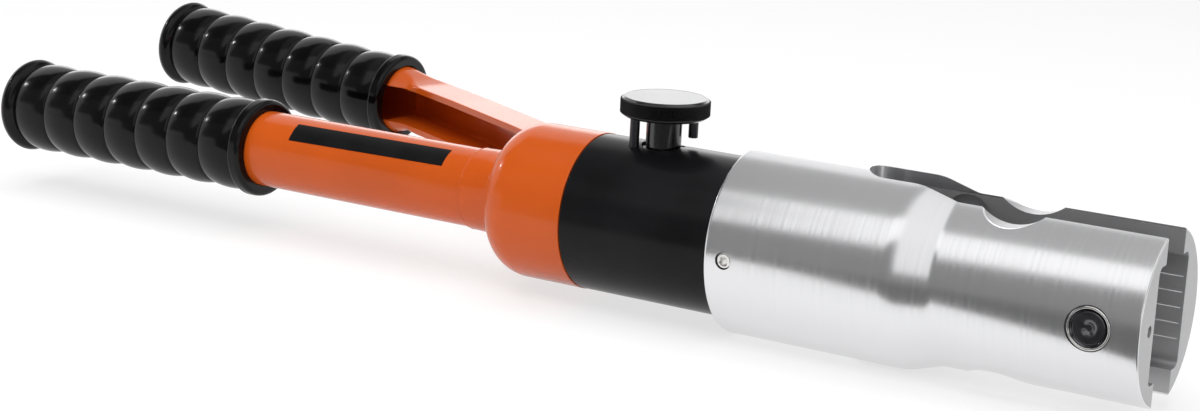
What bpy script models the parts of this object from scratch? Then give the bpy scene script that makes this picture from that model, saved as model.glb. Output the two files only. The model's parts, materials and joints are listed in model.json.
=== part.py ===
"""Manual hydraulic crimping tool for pipe fittings.

A swivelling fork head carries the crimping jaws on a cross pin. A ram with two rollers drives them,
a hand pump in the bell feeds the cylinder, and a knob on top lets the oil back.
Metres, +Z up, +X towards the head. The origin is the centre of the fixed grip's butt.
"""
import math

import bmesh
import bpy
from mathutils import Matrix, Vector
from mathutils.geometry import convex_hull_2d

# Clearances
GAP = 0.0003
RUNNING_GAP = 0.0004
OVERCUT = 0.0040
MERGE_DISTANCE = 0.00001
MARKER_SIZE = 0.01

# Segments round a turned piece
FINE = 32
MEDIUM = 20
COARSE = 12
TINY = 8
WIRE_SIDES = 6

# Stations along the tool, from the butt forward
GRIP_LENGTH = 0.1476
TUBE_SHOWING = 0.1172
NECK_LENGTH = 0.0180
BELL_LENGTH = 0.0412
BODY_LENGTH = 0.0700
HEAD_LENGTH = 0.1726

X_NECK = GRIP_LENGTH + TUBE_SHOWING
X_BELL = X_NECK + NECK_LENGTH
X_BODY = X_BELL + BELL_LENGTH
X_HEAD = X_BODY + BODY_LENGTH
X_NOSE = X_HEAD + HEAD_LENGTH

# Cylinder body
BODY_RADIUS = 0.03265
BODY_EDGE = 0.0004
SPIGOT_STEP = 0.00265
SPIGOT_RADIUS = BODY_RADIUS - SPIGOT_STEP
SPIGOT_LENGTH = 0.0400
SPIGOT_EDGE = 0.0006
TAIL_STEP = 0.00455
TAIL_RADIUS = BODY_RADIUS - TAIL_STEP
TAIL_LENGTH = 0.0075
CYLINDER_WALL = 0.0080
BORE_RADIUS = SPIGOT_RADIUS - CYLINDER_WALL
BORE_REAR = 0.0450
GLAND_STEP = 0.0017
GLAND_RADIUS = BORE_RADIUS + GLAND_STEP
GLAND_LENGTH = 0.0074
SCREW_STATION = 0.0086
SCREW_RADIUS = 0.0031
SCREW_DOG_RADIUS = 0.0025
SCREW_GROOVE_HALF = 0.0034
SCREW_GROOVE_DEPTH = 0.0030
SCREW_GROOVE_RADIUS = SPIGOT_RADIUS - SCREW_GROOVE_DEPTH
SCREW_SOCKET_RADIUS = 0.0016
SCREW_SOCKET_DEPTH = 0.0022
SCREW_SINK = 0.0008
SCREW_EDGE = 0.0004
SCREW_COUNT = 3
SEAL_STATION = 0.0296
SEAL_WIRE = 0.0012

# Fork head
HEAD_WALL = 0.0080
HEAD_REAR_RADIUS = SPIGOT_RADIUS + HEAD_WALL
HEAD_FORK_RADIUS = 0.0337
HEAD_REAR_LENGTH = 0.0770
HEAD_CONE_LENGTH = 0.0150
HEAD_EDGE = 0.0016
NOSE_EDGE = 0.0005
CONE_BLEND = 0.0020
CONE_BLEND_DROP = 0.0006
SLOT_HALF_WIDTH = 0.0103
SLOT_START = 0.0513
CHEEK_THICKNESS = 0.0165
POCKET_HALF_WIDTH = HEAD_FORK_RADIUS - CHEEK_THICKNESS
POCKET_END_WALL = 0.0114
POCKET_HALF_HEIGHT = HEAD_FORK_RADIUS - POCKET_END_WALL
POCKET_CORNER = 0.0030
POCKET_START = 0.0543
NOTCH_STATION = 0.1145
NOTCH_RADIUS = 0.0219
NOTCH_SINK = 0.0065
NOTCH_FLOOR_Z = HEAD_FORK_RADIUS - NOTCH_SINK
RELIEF_STATION = 0.0880
RELIEF_RADIUS = 0.0100
RELIEF_SINK = 0.0127
RELIEF_Z = HEAD_FORK_RADIUS - RELIEF_SINK
RELIEF_HALF_WIDTH = 0.0132

# Jaw pin and its spring detent
JAW_PIN_SETBACK = 0.0190
JAW_PIN_RADIUS = 0.0068
JAW_PIN_EDGE = 0.0008
JAW_PIN_DIMPLE = 0.0016
JAW_PIN_SINK = 0.0003
RING_GROOVE_DEPTH = 0.0005
DETENT_GROOVE_HALF = 0.0018
DETENT_GROOVE_DEPTH = 0.0006
PIN_RING_WIRE = 0.0006
PIN_SEAT_RADIUS = 0.0087
PIN_SEAT_DEPTH = 0.0014
DETENT_WALL = 0.0050
DETENT_Y = -POCKET_HALF_WIDTH - DETENT_WALL
DETENT_RADIUS = 0.0019
DETENT_NOSE = 0.0012
DETENT_SINK = 0.0008
DETENT_HOLE_DEPTH = 0.0012
DETENT_HOLE_RADIUS = 0.00085
DETENT_TIP_RADIUS = 0.0006

# Ram, its carriage and rollers
ROD_RADIUS = 0.0090
ROD_EDGE = 0.0005
PISTON_REAR = 0.0400
PISTON_LENGTH = 0.0130
PISTON_RADIUS = BORE_RADIUS - RUNNING_GAP
PISTON_SEAL_WIDTH = 0.0040
PISTON_SEAL_DEPTH = 0.0027
ROD_STUB_RADIUS = 0.0060
ROD_STUB_LENGTH = 0.0080
ROD_SEAL_RADIUS = 0.0122
ROD_SEAL_WIDTH = 0.0030
CARRIAGE_LENGTH = 0.0253
CARRIAGE_END_PLAY = 0.0045
CARRIAGE_HALF_HEIGHT = POCKET_HALF_HEIGHT - CARRIAGE_END_PLAY
CARRIAGE_EDGE = 0.0020
ROLLER_RADIUS = 0.0085
ROLLER_SPREAD = 0.0090
ROLLER_SETBACK = 0.0060
ROLLER_EDGE = 0.0005
ROLLER_PIN_RADIUS = 0.0035
ROLLER_PIN_EDGE = 0.0004
FORK_SIDE_PLAY = 0.0005
SPRING_INSET = 0.0015
SPRING_RADIUS = (ROD_RADIUS + BORE_RADIUS) / 2 - SPRING_INSET
SPRING_WIRE = 0.0014
SPRING_TURNS = 7
SPRING_TURN_POINTS = 8

# Release valve and its knob
KNOB_SETBACK = 0.0414
KNOB_RADIUS = 0.0184
KNOB_STANDOFF = 0.01165
KNOB_THICKNESS = 0.0082
KNOB_BOTTOM = BODY_RADIUS + KNOB_STANDOFF
KNOB_TOP = KNOB_BOTTOM + KNOB_THICKNESS
KNOB_EDGE = 0.0012
KNOB_RIBS = 18
KNOB_RIB_DEPTH = 0.00045
STEM_RADIUS = 0.00625
STEM_SUNK = 0.00415
STEM_FOOT_Z = BODY_RADIUS - STEM_SUNK
NEEDLE_RADIUS = 0.0028
NEEDLE_LENGTH = 0.0035
NEEDLE_CONE = 0.0015
NEEDLE_TIP_RADIUS = 0.0006
NEEDLE_TIP_Z = STEM_FOOT_Z - NEEDLE_LENGTH
BONNET_RADIUS = 0.0086
BONNET_RECESS = 0.00115
BONNET_LENGTH = 0.0069
BONNET_TOP_Z = BODY_RADIUS - BONNET_RECESS
BONNET_BOTTOM_Z = BONNET_TOP_Z - BONNET_LENGTH
STOP_CIRCLE = 0.0120
STOP_POST_ANGLE = math.radians(217.0)
STOP_PIN_RADIUS = 0.0019
STOP_PIN_EDGE = 0.0003
STOP_PIN_CLEARANCE = 0.00475
STOP_PIN_LOW_Z = BODY_RADIUS + STOP_PIN_CLEARANCE
STOP_PIN_SUNK = 0.0036
STOP_POST_SUNK = 0.00615
STOP_POST_LOW_Z = BODY_RADIUS - STOP_POST_SUNK

# Bell housing
BELL_STEP = 0.00025
BELL_RADIUS = BODY_RADIUS + BELL_STEP
BELL_EDGE = 0.0004
SHOULDER_POINTS = 7
BELL_WALL = 0.0045
BELL_REAR_WALL = 0.0027
CAVITY_CORNER = 0.0030
NECK_REAR_RADIUS = 0.0183
NECK_FRONT_RADIUS = 0.0228
BELL_SHOULDER = BELL_RADIUS - NECK_FRONT_RADIUS
SHOULDER_LENGTH = 0.0135
NECK_FLARE = 0.0063
NECK_LIP = 0.0030
NECK_EDGE = 0.0004
LUG_RADIUS = 0.0095
LUG_THICKNESS = 0.0054
LUG_REACH = 0.00665
SPOT_FACE_DEPTH = 0.0200
SPOT_FACE_PLAY = 0.0010
SPOT_FACE_SINK = 0.0001
WINDOW_FRONT = 0.0120
WINDOW_NEAR_Y = 0.0190
WINDOW_FAR_Y = 0.0450

# Fixed handle tube, which is the oil tank
TUBE_RADIUS = 0.01707
TUBE_WALL = 0.0025
TUBE_REAR = 0.0060
TUBE_IN_NECK = 0.0165
BLADDER_WALL = 0.0012
BLADDER_REAR = 0.0220
BLADDER_ROUND = 0.0080
BLADDER_CORNER = 0.0020
PLUG_FLANGE = 0.0027
PLUG_FLANGE_STEP = 0.0002
PLUG_LENGTH = 0.0120

# Grips
GRIP_END_WALL = 0.0025
GRIP_FLANGE_RADIUS = 0.0223
GRIP_FLANGE_LENGTH = 0.0080
GRIP_CREST_RADIUS = 0.0209
GRIP_VALLEY_RADIUS = 0.0190
GRIP_LOBES = 7
GRIP_END_ROUND = 0.0026
GRIP_RIM_ROUND = 0.0014
GRIP_FULLNESS = 0.6
LOBE_POINTS = 3

# Hand pump and its lever
PUMP_Y = 0.0080
PUMP_ARM = 0.0220
LEVER_SWING = math.radians(34.0)
PIVOT_SETBACK = 0.0230
PIVOT_OFFSET = 0.00046
PIVOT_RADIUS = 0.0040
PIN_EDGE = 0.0004
PIVOT_PIN_OVERHANG = 0.0020
PIVOT_EYE_RADIUS = 0.0090
LINK_RADIUS = 0.0030
LINK_EYE_RADIUS = 0.0055
LINK_SIDE_PLAY = 0.0006
PLUNGER_RADIUS = 0.0050
PLUNGER_EYE_RADIUS = 0.0060
PLUNGER_EYE_PLAY = 0.0005
PLUNGER_EDGE = 0.0005
PLUNGER_SHANK_OFFSET = 0.0010
PLUNGER_FRONT = 0.0180
PUMP_BORE_REACH = 0.0200
PUMP_GLAND_RADIUS = 0.0087
PUMP_GLAND_LENGTH = 0.0080
PUMP_SEAL_RADIUS = 0.0073
PUMP_SEAL_LENGTH = 0.0030
CHANNEL_HALF_HEIGHT = 0.0120
CHANNEL_WALL = 0.0030
CHANNEL_CORNER = 0.0030
CHANNEL_INNER_CORNER = 0.0010
EAR_INSET = 0.00005
EAR_ROOT_RADIUS = 0.0088
CIRCLIP_THICKNESS = 0.0010
CIRCLIP_RADIUS = 0.0062
CIRCLIP_GROOVE = 0.0006

# Places of the pump lever: where its grip sits and where its channel runs
LEVER_BUTT_X = -0.0166
LEVER_BUTT_Y = 0.1301
LEVER_BUTT_Z = 0.0132
LEVER_FRONT_X = 0.1306
LEVER_FRONT_Y = 0.1269
LEVER_FRONT_Z = 0.0027
EAR_ROOT_X = 0.2760
EAR_ROOT_Y = 0.0550
EAR_ROOT_HALF_WIDTH = 0.0095
BEND_X = 0.2415
BEND_Y = 0.0777
BEND_HALF_WIDTH = 0.0111
CHANNEL_REAR_X = 0.1710
CHANNEL_REAR_Y = 0.1177
CHANNEL_REAR_HALF_WIDTH = 0.0100
FLARE_X = 0.1480
FLARE_Y = 0.1262
FLARE_Z = 0.0010
FLARE_HALF_WIDTH = 0.0130
FLARE_HALF_HEIGHT = 0.0138
FLARE_CORNER = 0.0080
LEVER_BUTT = Vector((LEVER_BUTT_X, LEVER_BUTT_Y, LEVER_BUTT_Z))
LEVER_GRIP_FRONT = Vector((LEVER_FRONT_X, LEVER_FRONT_Y, LEVER_FRONT_Z))
CHANNEL_PATH = (
    (Vector((EAR_ROOT_X, EAR_ROOT_Y, 0.0)), EAR_ROOT_HALF_WIDTH, CHANNEL_HALF_HEIGHT, CHANNEL_CORNER),
    (Vector((BEND_X, BEND_Y, 0.0)), BEND_HALF_WIDTH, CHANNEL_HALF_HEIGHT, CHANNEL_CORNER),
    (Vector((CHANNEL_REAR_X, CHANNEL_REAR_Y, 0.0)), CHANNEL_REAR_HALF_WIDTH, CHANNEL_HALF_HEIGHT, CHANNEL_CORNER),
    (Vector((FLARE_X, FLARE_Y, FLARE_Z)), FLARE_HALF_WIDTH, FLARE_HALF_HEIGHT, FLARE_CORNER),
)
SECTION_POINTS = 20
SECTION_FULLNESS = 0.995
SLOT_IN_GRIP = 0.0120

# Worked out from the values above
SOCKET_RADIUS = SPIGOT_RADIUS + RUNNING_GAP
SOCKET_DEPTH = SPIGOT_LENGTH + GAP
X_POCKET = X_HEAD + POCKET_START
X_JAW_PIN = X_NOSE - JAW_PIN_SETBACK
X_KNOB = X_HEAD - KNOB_SETBACK
X_TAIL = X_BODY - TAIL_LENGTH
X_BORE = X_HEAD - BORE_REAR
X_GLAND = X_HEAD + SPIGOT_LENGTH - GLAND_LENGTH - GAP
X_PISTON = X_HEAD - PISTON_REAR
X_CARRIAGE = X_POCKET + RUNNING_GAP
X_CARRIAGE_FRONT = X_CARRIAGE + CARRIAGE_LENGTH
X_ROLLERS = X_CARRIAGE_FRONT - ROLLER_SETBACK
CARRIAGE_HALF_WIDTH = POCKET_HALF_WIDTH - GAP
FORK_HALF_GAP = SLOT_HALF_WIDTH - FORK_SIDE_PLAY
ROLLER_HALF_LENGTH = FORK_HALF_GAP - RUNNING_GAP
PIVOT = Vector((X_BODY - PIVOT_SETBACK, PUMP_Y + PUMP_ARM * math.cos(LEVER_SWING / 2) + PIVOT_OFFSET, 0.0))
LINK = PIVOT + PUMP_ARM * Vector((math.sin(LEVER_SWING / 2), -math.cos(LEVER_SWING / 2), 0.0))
PLUNGER_STROKE = 2 * PUMP_ARM * math.sin(LEVER_SWING / 2)
LUG_INNER_Z = CHANNEL_HALF_HEIGHT + 2 * GAP
LUG_OUTER_Z = LUG_INNER_Z + LUG_THICKNESS
X_BELL_CAVITY = X_BELL + BELL_REAR_WALL
X_TUBE_FRONT = X_NECK + TUBE_IN_NECK
X_PLUNGER_FRONT = X_BODY + PLUNGER_FRONT
Y_AXIS = Vector((0.0, 1.0, 0.0))
Z_AXIS = Vector((0.0, 0.0, 1.0))
X_AXIS = Vector((1.0, 0.0, 0.0))


# Scene, collections and materials

def clear_scene():
    for item in list(bpy.data.objects):
        bpy.data.objects.remove(item, do_unlink=True)


def new_collection(name):
    group = bpy.data.collections.new(name)
    bpy.context.scene.collection.children.link(group)
    return group


clear_scene()
PARTS = new_collection("hydraulic_crimping_tool")
CUTTERS = new_collection("cutters")


def material(name, colour, roughness, metallic=0.0):
    finish = bpy.data.materials.new(name)
    finish.use_nodes = True
    shader = finish.node_tree.nodes["Principled BSDF"]
    shader.inputs["Base Color"].default_value = (*colour, 1.0)
    shader.inputs["Roughness"].default_value = roughness
    shader.inputs["Metallic"].default_value = metallic
    return finish


SATIN_STEEL = ((0.74, 0.74, 0.76), 0.30, 1.0)
DARK_STEEL = ((0.10, 0.10, 0.11), 0.35, 1.0)
BRIGHT_STEEL = ((0.80, 0.80, 0.80), 0.18, 1.0)
GROUND_STEEL = ((0.62, 0.62, 0.64), 0.22, 1.0)
BLACK_PAINT = ((0.012, 0.012, 0.013), 0.35, 0.0)
BLACK_PLASTIC = ((0.015, 0.015, 0.016), 0.45, 0.0)
ORANGE_PAINT = ((0.60, 0.10, 0.010), 0.20, 0.0)
BLACK_RUBBER = ((0.012, 0.012, 0.013), 0.25, 0.0)
SEAL_RUBBER = ((0.02, 0.02, 0.02), 0.60, 0.0)
BRONZE = ((0.55, 0.38, 0.16), 0.35, 1.0)


# Basic shapes

def add_object(name, mesh, place=None):
    item = bpy.data.objects.new(name, mesh)
    if place is not None:
        item.matrix_world = place
    PARTS.objects.link(item)
    return item


def finish_mesh(mesh, angle=40.0):
    mesh.shade_smooth()
    mesh.set_sharp_from_angle(angle=math.radians(angle))


def along(start, direction):
    """Matrix that puts local +Z on the given direction, with the origin at start."""
    turn = Z_AXIS.rotation_difference(direction.normalized())
    return Matrix.Translation(start) @ turn.to_matrix().to_4x4()


def turned(name, profile, segments, start=Vector(), direction=X_AXIS):
    """Solid of revolution. The profile is (station, radius), outer side first, from far end to near end."""
    mesh = bpy.data.meshes.new(name)
    points = [(radius, 0.0, station) for station, radius in profile]
    edges = [(i, i + 1) for i in range(len(points) - 1)]
    on_axis = profile[0][1] == 0.0 and profile[-1][1] == 0.0
    if not on_axis:
        edges.append((len(points) - 1, 0))
    mesh.from_pydata(points, edges, [])
    item = add_object(name, mesh, along(start, direction))
    screw = item.modifiers.new("Turn", "SCREW")
    screw.steps = segments
    screw.render_steps = segments
    screw.use_merge_vertices = True
    screw.merge_threshold = MERGE_DISTANCE
    screw.use_smooth_shade = False
    weld = item.modifiers.new("Weld", "WELD")
    weld.merge_threshold = MERGE_DISTANCE
    return item


def ring_profile(low, high, inner, outer):
    return [(high, outer), (low, outer), (low, inner), (high, inner)]


def wire_profile(station, centre, wire):
    """Section of a wire ring whose wire runs at radius centre."""
    angles = [math.pi / 2 - 2 * math.pi * i / WIRE_SIDES for i in range(WIRE_SIDES)]
    return [(station + wire * math.sin(angle), centre + wire * math.cos(angle)) for angle in angles]


def rod_profile(low, high, radius, edge=0.0):
    if edge == 0.0:
        return [(high, 0.0), (high, radius), (low, radius), (low, 0.0)]
    return [(high, 0.0), (high, radius - edge), (high - edge, radius),
            (low + edge, radius), (low, radius - edge), (low, 0.0)]


def cylinder(name, start, end, radius, segments=MEDIUM):
    mesh = bpy.data.meshes.new(name)
    shape = bmesh.new()
    length = (end - start).length
    bmesh.ops.create_cone(shape, cap_ends=True, segments=segments, radius1=radius, radius2=radius, depth=length,
                          matrix=along((start + end) / 2, end - start))
    shape.to_mesh(mesh)
    shape.free()
    return add_object(name, mesh)


def box(name, low, high, edge=0.0, edge_axis=None):
    """Box between two corners. Edges along edge_axis get a round of radius edge."""
    mesh = bpy.data.meshes.new(name)
    shape = bmesh.new()
    size = Vector(high) - Vector(low)
    middle = (Vector(high) + Vector(low)) / 2
    bmesh.ops.create_cube(shape, size=1.0, matrix=Matrix.Translation(middle) @ Matrix.Diagonal((*size, 1.0)))
    if edge > 0.0:
        chosen = [e for e in shape.edges if abs((e.verts[0].co - e.verts[1].co).normalized().dot(edge_axis)) > 0.9]
        bmesh.ops.bevel(shape, geom=chosen, offset=edge, segments=3, affect="EDGES", profile=0.5)
    shape.to_mesh(mesh)
    shape.free()
    return add_object(name, mesh)


def link_outline(first, first_radius, second, second_radius, steps):
    """Outline of a flat link: an arc round each end, joined by the two outer tangents."""
    offset = second - first
    heading = math.atan2(offset.y, offset.x)
    spread = math.acos((first_radius - second_radius) / offset.length)
    points = []
    for centre, radius, begin, sweep in ((first, first_radius, heading + spread, 2 * math.pi - 2 * spread),
                                         (second, second_radius, heading - spread, 2 * spread)):
        for i in range(steps + 1):
            angle = begin + sweep * i / steps
            points.append((centre.x + radius * math.cos(angle), centre.y + radius * math.sin(angle)))
    return points


def plate(name, outline, low, high):
    """Flat plate cut to an outline in XY, from height low to height high."""
    curve = bpy.data.curves.new(name, "CURVE")
    curve.dimensions = "2D"
    curve.fill_mode = "BOTH"
    curve.extrude = (high - low) / 2
    spline = curve.splines.new("POLY")
    spline.points.add(len(outline) - 1)
    for point, (x, y) in zip(spline.points, outline):
        point.co = (x, y, 0.0, 1.0)
    spline.use_cyclic_u = True
    drawn = bpy.data.objects.new(name + "_outline", curve)
    drawn.matrix_world = Matrix.Translation((0.0, 0.0, (low + high) / 2))
    bpy.context.scene.collection.objects.link(drawn)
    bpy.context.view_layer.update()
    graph = bpy.context.evaluated_depsgraph_get()
    mesh = bpy.data.meshes.new_from_object(drawn.evaluated_get(graph))
    place = drawn.matrix_world.copy()
    bpy.data.objects.remove(drawn, do_unlink=True)
    shape = bmesh.new()
    shape.from_mesh(mesh)
    bmesh.ops.remove_doubles(shape, verts=shape.verts, dist=MERGE_DISTANCE)
    bmesh.ops.recalc_face_normals(shape, faces=shape.faces)
    shape.to_mesh(mesh)
    shape.free()
    mesh.name = name
    return add_object(name, mesh, place)


def loft(name, sections):
    """Closed solid through a row of sections with equally many points, capped at both ends."""
    mesh = bpy.data.meshes.new(name)
    shape = bmesh.new()
    rings = [[shape.verts.new(point) for point in section] for section in sections]
    count = len(rings[0])
    for ring, following in zip(rings, rings[1:]):
        for i in range(count):
            j = (i + 1) % count
            shape.faces.new((ring[i], ring[j], following[j], following[i]))
    shape.faces.new(rings[0])
    shape.faces.new(rings[-1])
    bmesh.ops.triangulate(shape, faces=shape.faces)
    bmesh.ops.recalc_face_normals(shape, faces=shape.faces)
    shape.to_mesh(mesh)
    shape.free()
    return add_object(name, mesh)


def round_section(half_width, half_height, corner, count):
    """Rounded rectangle as (side, up) pairs, a quarter of the points on each corner's arc."""
    steps = count // 4
    points = []
    for quarter, (side, up) in enumerate(((1, 1), (-1, 1), (-1, -1), (1, -1))):
        for i in range(steps):
            angle = math.pi / 2 * (quarter + i / (steps - 1))
            points.append((side * (half_width - corner) + corner * math.cos(angle),
                           up * (half_height - corner) + corner * math.sin(angle)))
    return points


# Joining, cutting and finishing

def hide_cutter(item):
    for group in list(item.users_collection):
        group.objects.unlink(item)
    CUTTERS.objects.link(item)
    item.hide_render = True
    item.display_type = "WIRE"


def combine(item, tools, operation, solver):
    for tool in tools:
        step = item.modifiers.new(operation.title(), "BOOLEAN")
        step.operation = operation
        step.object = tool
        step.solver = solver
        hide_cutter(tool)
    return item


def cut(item, *tools, solver="EXACT"):
    return combine(item, tools, "DIFFERENCE", solver)


def weld(item, *tools, solver="EXACT"):
    return combine(item, tools, "UNION", solver)


def paint(item, finish):
    colour, roughness, metallic = finish
    item.data.materials.clear()
    item.data.materials.append(material(item.name, colour, roughness, metallic))
    return item


def joint_empty(name, place):
    marker = bpy.data.objects.new(name, None)
    marker.empty_display_size = MARKER_SIZE
    marker.location = place
    PARTS.objects.link(marker)
    bpy.context.view_layer.update()
    return marker


def carry(parent, *items):
    bpy.context.view_layer.update()
    for item in items:
        item.parent = parent
        item.matrix_parent_inverse = parent.matrix_world.inverted()


def point(x, y=0.0, z=0.0):
    return Vector((x, y, z))


# Fork head: turned outside, then slotted, pocketed and notched

def fork_head():
    cone_start = X_HEAD + HEAD_REAR_LENGTH
    cone_end = cone_start + HEAD_CONE_LENGTH
    edge = HEAD_EDGE
    head = turned("fork_head", [
        (X_NOSE, 0.0),
        (X_NOSE, HEAD_FORK_RADIUS - NOSE_EDGE),
        (X_NOSE - NOSE_EDGE, HEAD_FORK_RADIUS),
        (cone_end + CONE_BLEND, HEAD_FORK_RADIUS),
        (cone_end - CONE_BLEND / 2, HEAD_FORK_RADIUS + CONE_BLEND_DROP),
        (cone_start + CONE_BLEND, HEAD_REAR_RADIUS - CONE_BLEND_DROP),
        (cone_start - CONE_BLEND, HEAD_REAR_RADIUS),
        (X_HEAD + edge, HEAD_REAR_RADIUS),
        (X_HEAD + 0.3 * edge, HEAD_REAR_RADIUS - 0.3 * edge),
        (X_HEAD, HEAD_REAR_RADIUS - edge),
        (X_HEAD, 0.0),
    ], FINE)
    socket = cylinder("socket_cutter", point(X_HEAD - OVERCUT), point(X_HEAD + SOCKET_DEPTH), SOCKET_RADIUS, FINE)
    rod_way = cylinder("rod_way_cutter", point(X_HEAD + SOCKET_DEPTH - OVERCUT), point(X_POCKET + OVERCUT),
                       ROD_RADIUS + RUNNING_GAP, MEDIUM)
    pocket = box("pocket_cutter", (X_POCKET, -POCKET_HALF_WIDTH, -POCKET_HALF_HEIGHT),
                 (X_NOSE + OVERCUT, POCKET_HALF_WIDTH, POCKET_HALF_HEIGHT), POCKET_CORNER, X_AXIS)
    slot_centre = X_HEAD + SLOT_START + SLOT_HALF_WIDTH
    slot_reach = HEAD_REAR_RADIUS + OVERCUT
    slot_outline = link_outline(point(slot_centre), SLOT_HALF_WIDTH,
                                point(X_NOSE + SLOT_HALF_WIDTH + OVERCUT), SLOT_HALF_WIDTH, 12)
    slot = plate("slot_cutter", slot_outline, -slot_reach, slot_reach)
    cutters = [socket, rod_way, pocket, slot]
    for side, word in ((1, "upper"), (-1, "lower")):
        notch_z = side * (NOTCH_FLOOR_Z + NOTCH_RADIUS)
        reach = HEAD_FORK_RADIUS + OVERCUT
        cutters.append(cylinder(word + "_notch_cutter", point(X_HEAD + NOTCH_STATION, -reach, notch_z),
                                point(X_HEAD + NOTCH_STATION, reach, notch_z), NOTCH_RADIUS, FINE))
        cutters.append(cylinder(word + "_relief_cutter",
                                point(X_HEAD + RELIEF_STATION, -RELIEF_HALF_WIDTH, side * RELIEF_Z),
                                point(X_HEAD + RELIEF_STATION, RELIEF_HALF_WIDTH, side * RELIEF_Z),
                                RELIEF_RADIUS, MEDIUM))
    cutters.append(jaw_pin_cutter())
    cutters.append(cylinder("detent_cutter", point(X_JAW_PIN, DETENT_Y), point(X_NOSE + OVERCUT, DETENT_Y),
                            DETENT_RADIUS + GAP, TINY))
    for angle in screw_angles():
        outward = Vector((0.0, math.cos(angle), math.sin(angle)))
        base = point(X_HEAD + SCREW_STATION)
        cutters.append(cylinder("screw_hole_cutter", base + outward * (SPIGOT_RADIUS - OVERCUT),
                                base + outward * (HEAD_REAR_RADIUS + OVERCUT), SCREW_RADIUS + GAP, COARSE))
    return paint(cut(head, *cutters), SATIN_STEEL)


def screw_angles():
    return [math.pi + 2 * math.pi * i / SCREW_COUNT for i in range(SCREW_COUNT)]


def jaw_pin_half_length():
    return math.sqrt(HEAD_FORK_RADIUS ** 2 - JAW_PIN_RADIUS ** 2)


def jaw_pin_cutter():
    """Hole for the jaw pin, with a flat-bottomed seat for the wire ring on the near side."""
    reach = HEAD_FORK_RADIUS + OVERCUT
    hole = JAW_PIN_RADIUS + GAP
    seat = jaw_pin_half_length() - PIN_SEAT_DEPTH
    return turned("jaw_pin_cutter", [
        (reach, 0.0), (reach, PIN_SEAT_RADIUS), (seat, PIN_SEAT_RADIUS), (seat, hole), (-reach, hole), (-reach, 0.0),
    ], MEDIUM, point(X_JAW_PIN), -Y_AXIS)


def head_set_screw(name, angle):
    """Dog-point screw. Three of them hold the head on the body's nose and let it turn."""
    tip = SCREW_GROOVE_RADIUS + RUNNING_GAP
    shoulder = SPIGOT_RADIUS + RUNNING_GAP
    top = HEAD_REAR_RADIUS - SCREW_SINK
    floor = top - SCREW_SOCKET_DEPTH
    outward = Vector((0.0, math.cos(angle), math.sin(angle)))
    screw = turned(name, [
        (floor, 0.0), (floor, SCREW_SOCKET_RADIUS), (top, SCREW_SOCKET_RADIUS), (top, SCREW_RADIUS - SCREW_EDGE),
        (top - SCREW_EDGE, SCREW_RADIUS), (shoulder, SCREW_RADIUS), (shoulder, SCREW_DOG_RADIUS),
        (tip, SCREW_DOG_RADIUS), (tip, 0.0),
    ], TINY, point(X_HEAD + SCREW_STATION), outward)
    return paint(screw, BRIGHT_STEEL)


def jaw_pin():
    """Cross pin with a ring groove near its face and a shallow groove for the detent."""
    half = jaw_pin_half_length() - JAW_PIN_SINK
    radius = JAW_PIN_RADIUS
    edge = JAW_PIN_EDGE
    groove = jaw_pin_half_length() - PIN_SEAT_DEPTH + GAP + PIN_RING_WIRE
    detent = -DETENT_Y
    pin = turned("jaw_pin", [
        (half - JAW_PIN_DIMPLE, 0.0), (half, JAW_PIN_DIMPLE), (half, radius - edge), (half - 0.3 * edge, radius),
        (groove + PIN_RING_WIRE, radius), (groove, radius - RING_GROOVE_DEPTH), (groove - PIN_RING_WIRE, radius),
        (detent + DETENT_GROOVE_HALF, radius), (detent, radius - DETENT_GROOVE_DEPTH),
        (detent - DETENT_GROOVE_HALF, radius),
        (-half + edge, radius), (-half, radius - edge), (-half, 0.0),
    ], MEDIUM, point(X_JAW_PIN), -Y_AXIS)
    return paint(pin, DARK_STEEL)


def jaw_pin_ring():
    """Spring wire ring in the pin's groove."""
    station = jaw_pin_half_length() - PIN_SEAT_DEPTH + GAP + PIN_RING_WIRE
    centre = JAW_PIN_RADIUS + GAP + PIN_RING_WIRE
    profile = wire_profile(station, centre, PIN_RING_WIRE)
    return paint(turned("jaw_pin_ring", profile, MEDIUM, point(X_JAW_PIN), -Y_AXIS), BRIGHT_STEEL)


def pin_detent():
    """Spring plunger that holds the jaw pin in."""
    tip = X_JAW_PIN + JAW_PIN_RADIUS + GAP
    top = X_NOSE - DETENT_SINK
    floor = top - DETENT_HOLE_DEPTH
    detent = turned("pin_detent", [
        (floor, 0.0), (floor, DETENT_HOLE_RADIUS), (top, DETENT_HOLE_RADIUS), (top, DETENT_RADIUS),
        (tip + DETENT_NOSE, DETENT_RADIUS), (tip, DETENT_TIP_RADIUS), (tip, 0.0),
    ], TINY, point(0.0, DETENT_Y), X_AXIS)
    return paint(detent, DARK_STEEL)


# Cylinder body

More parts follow.
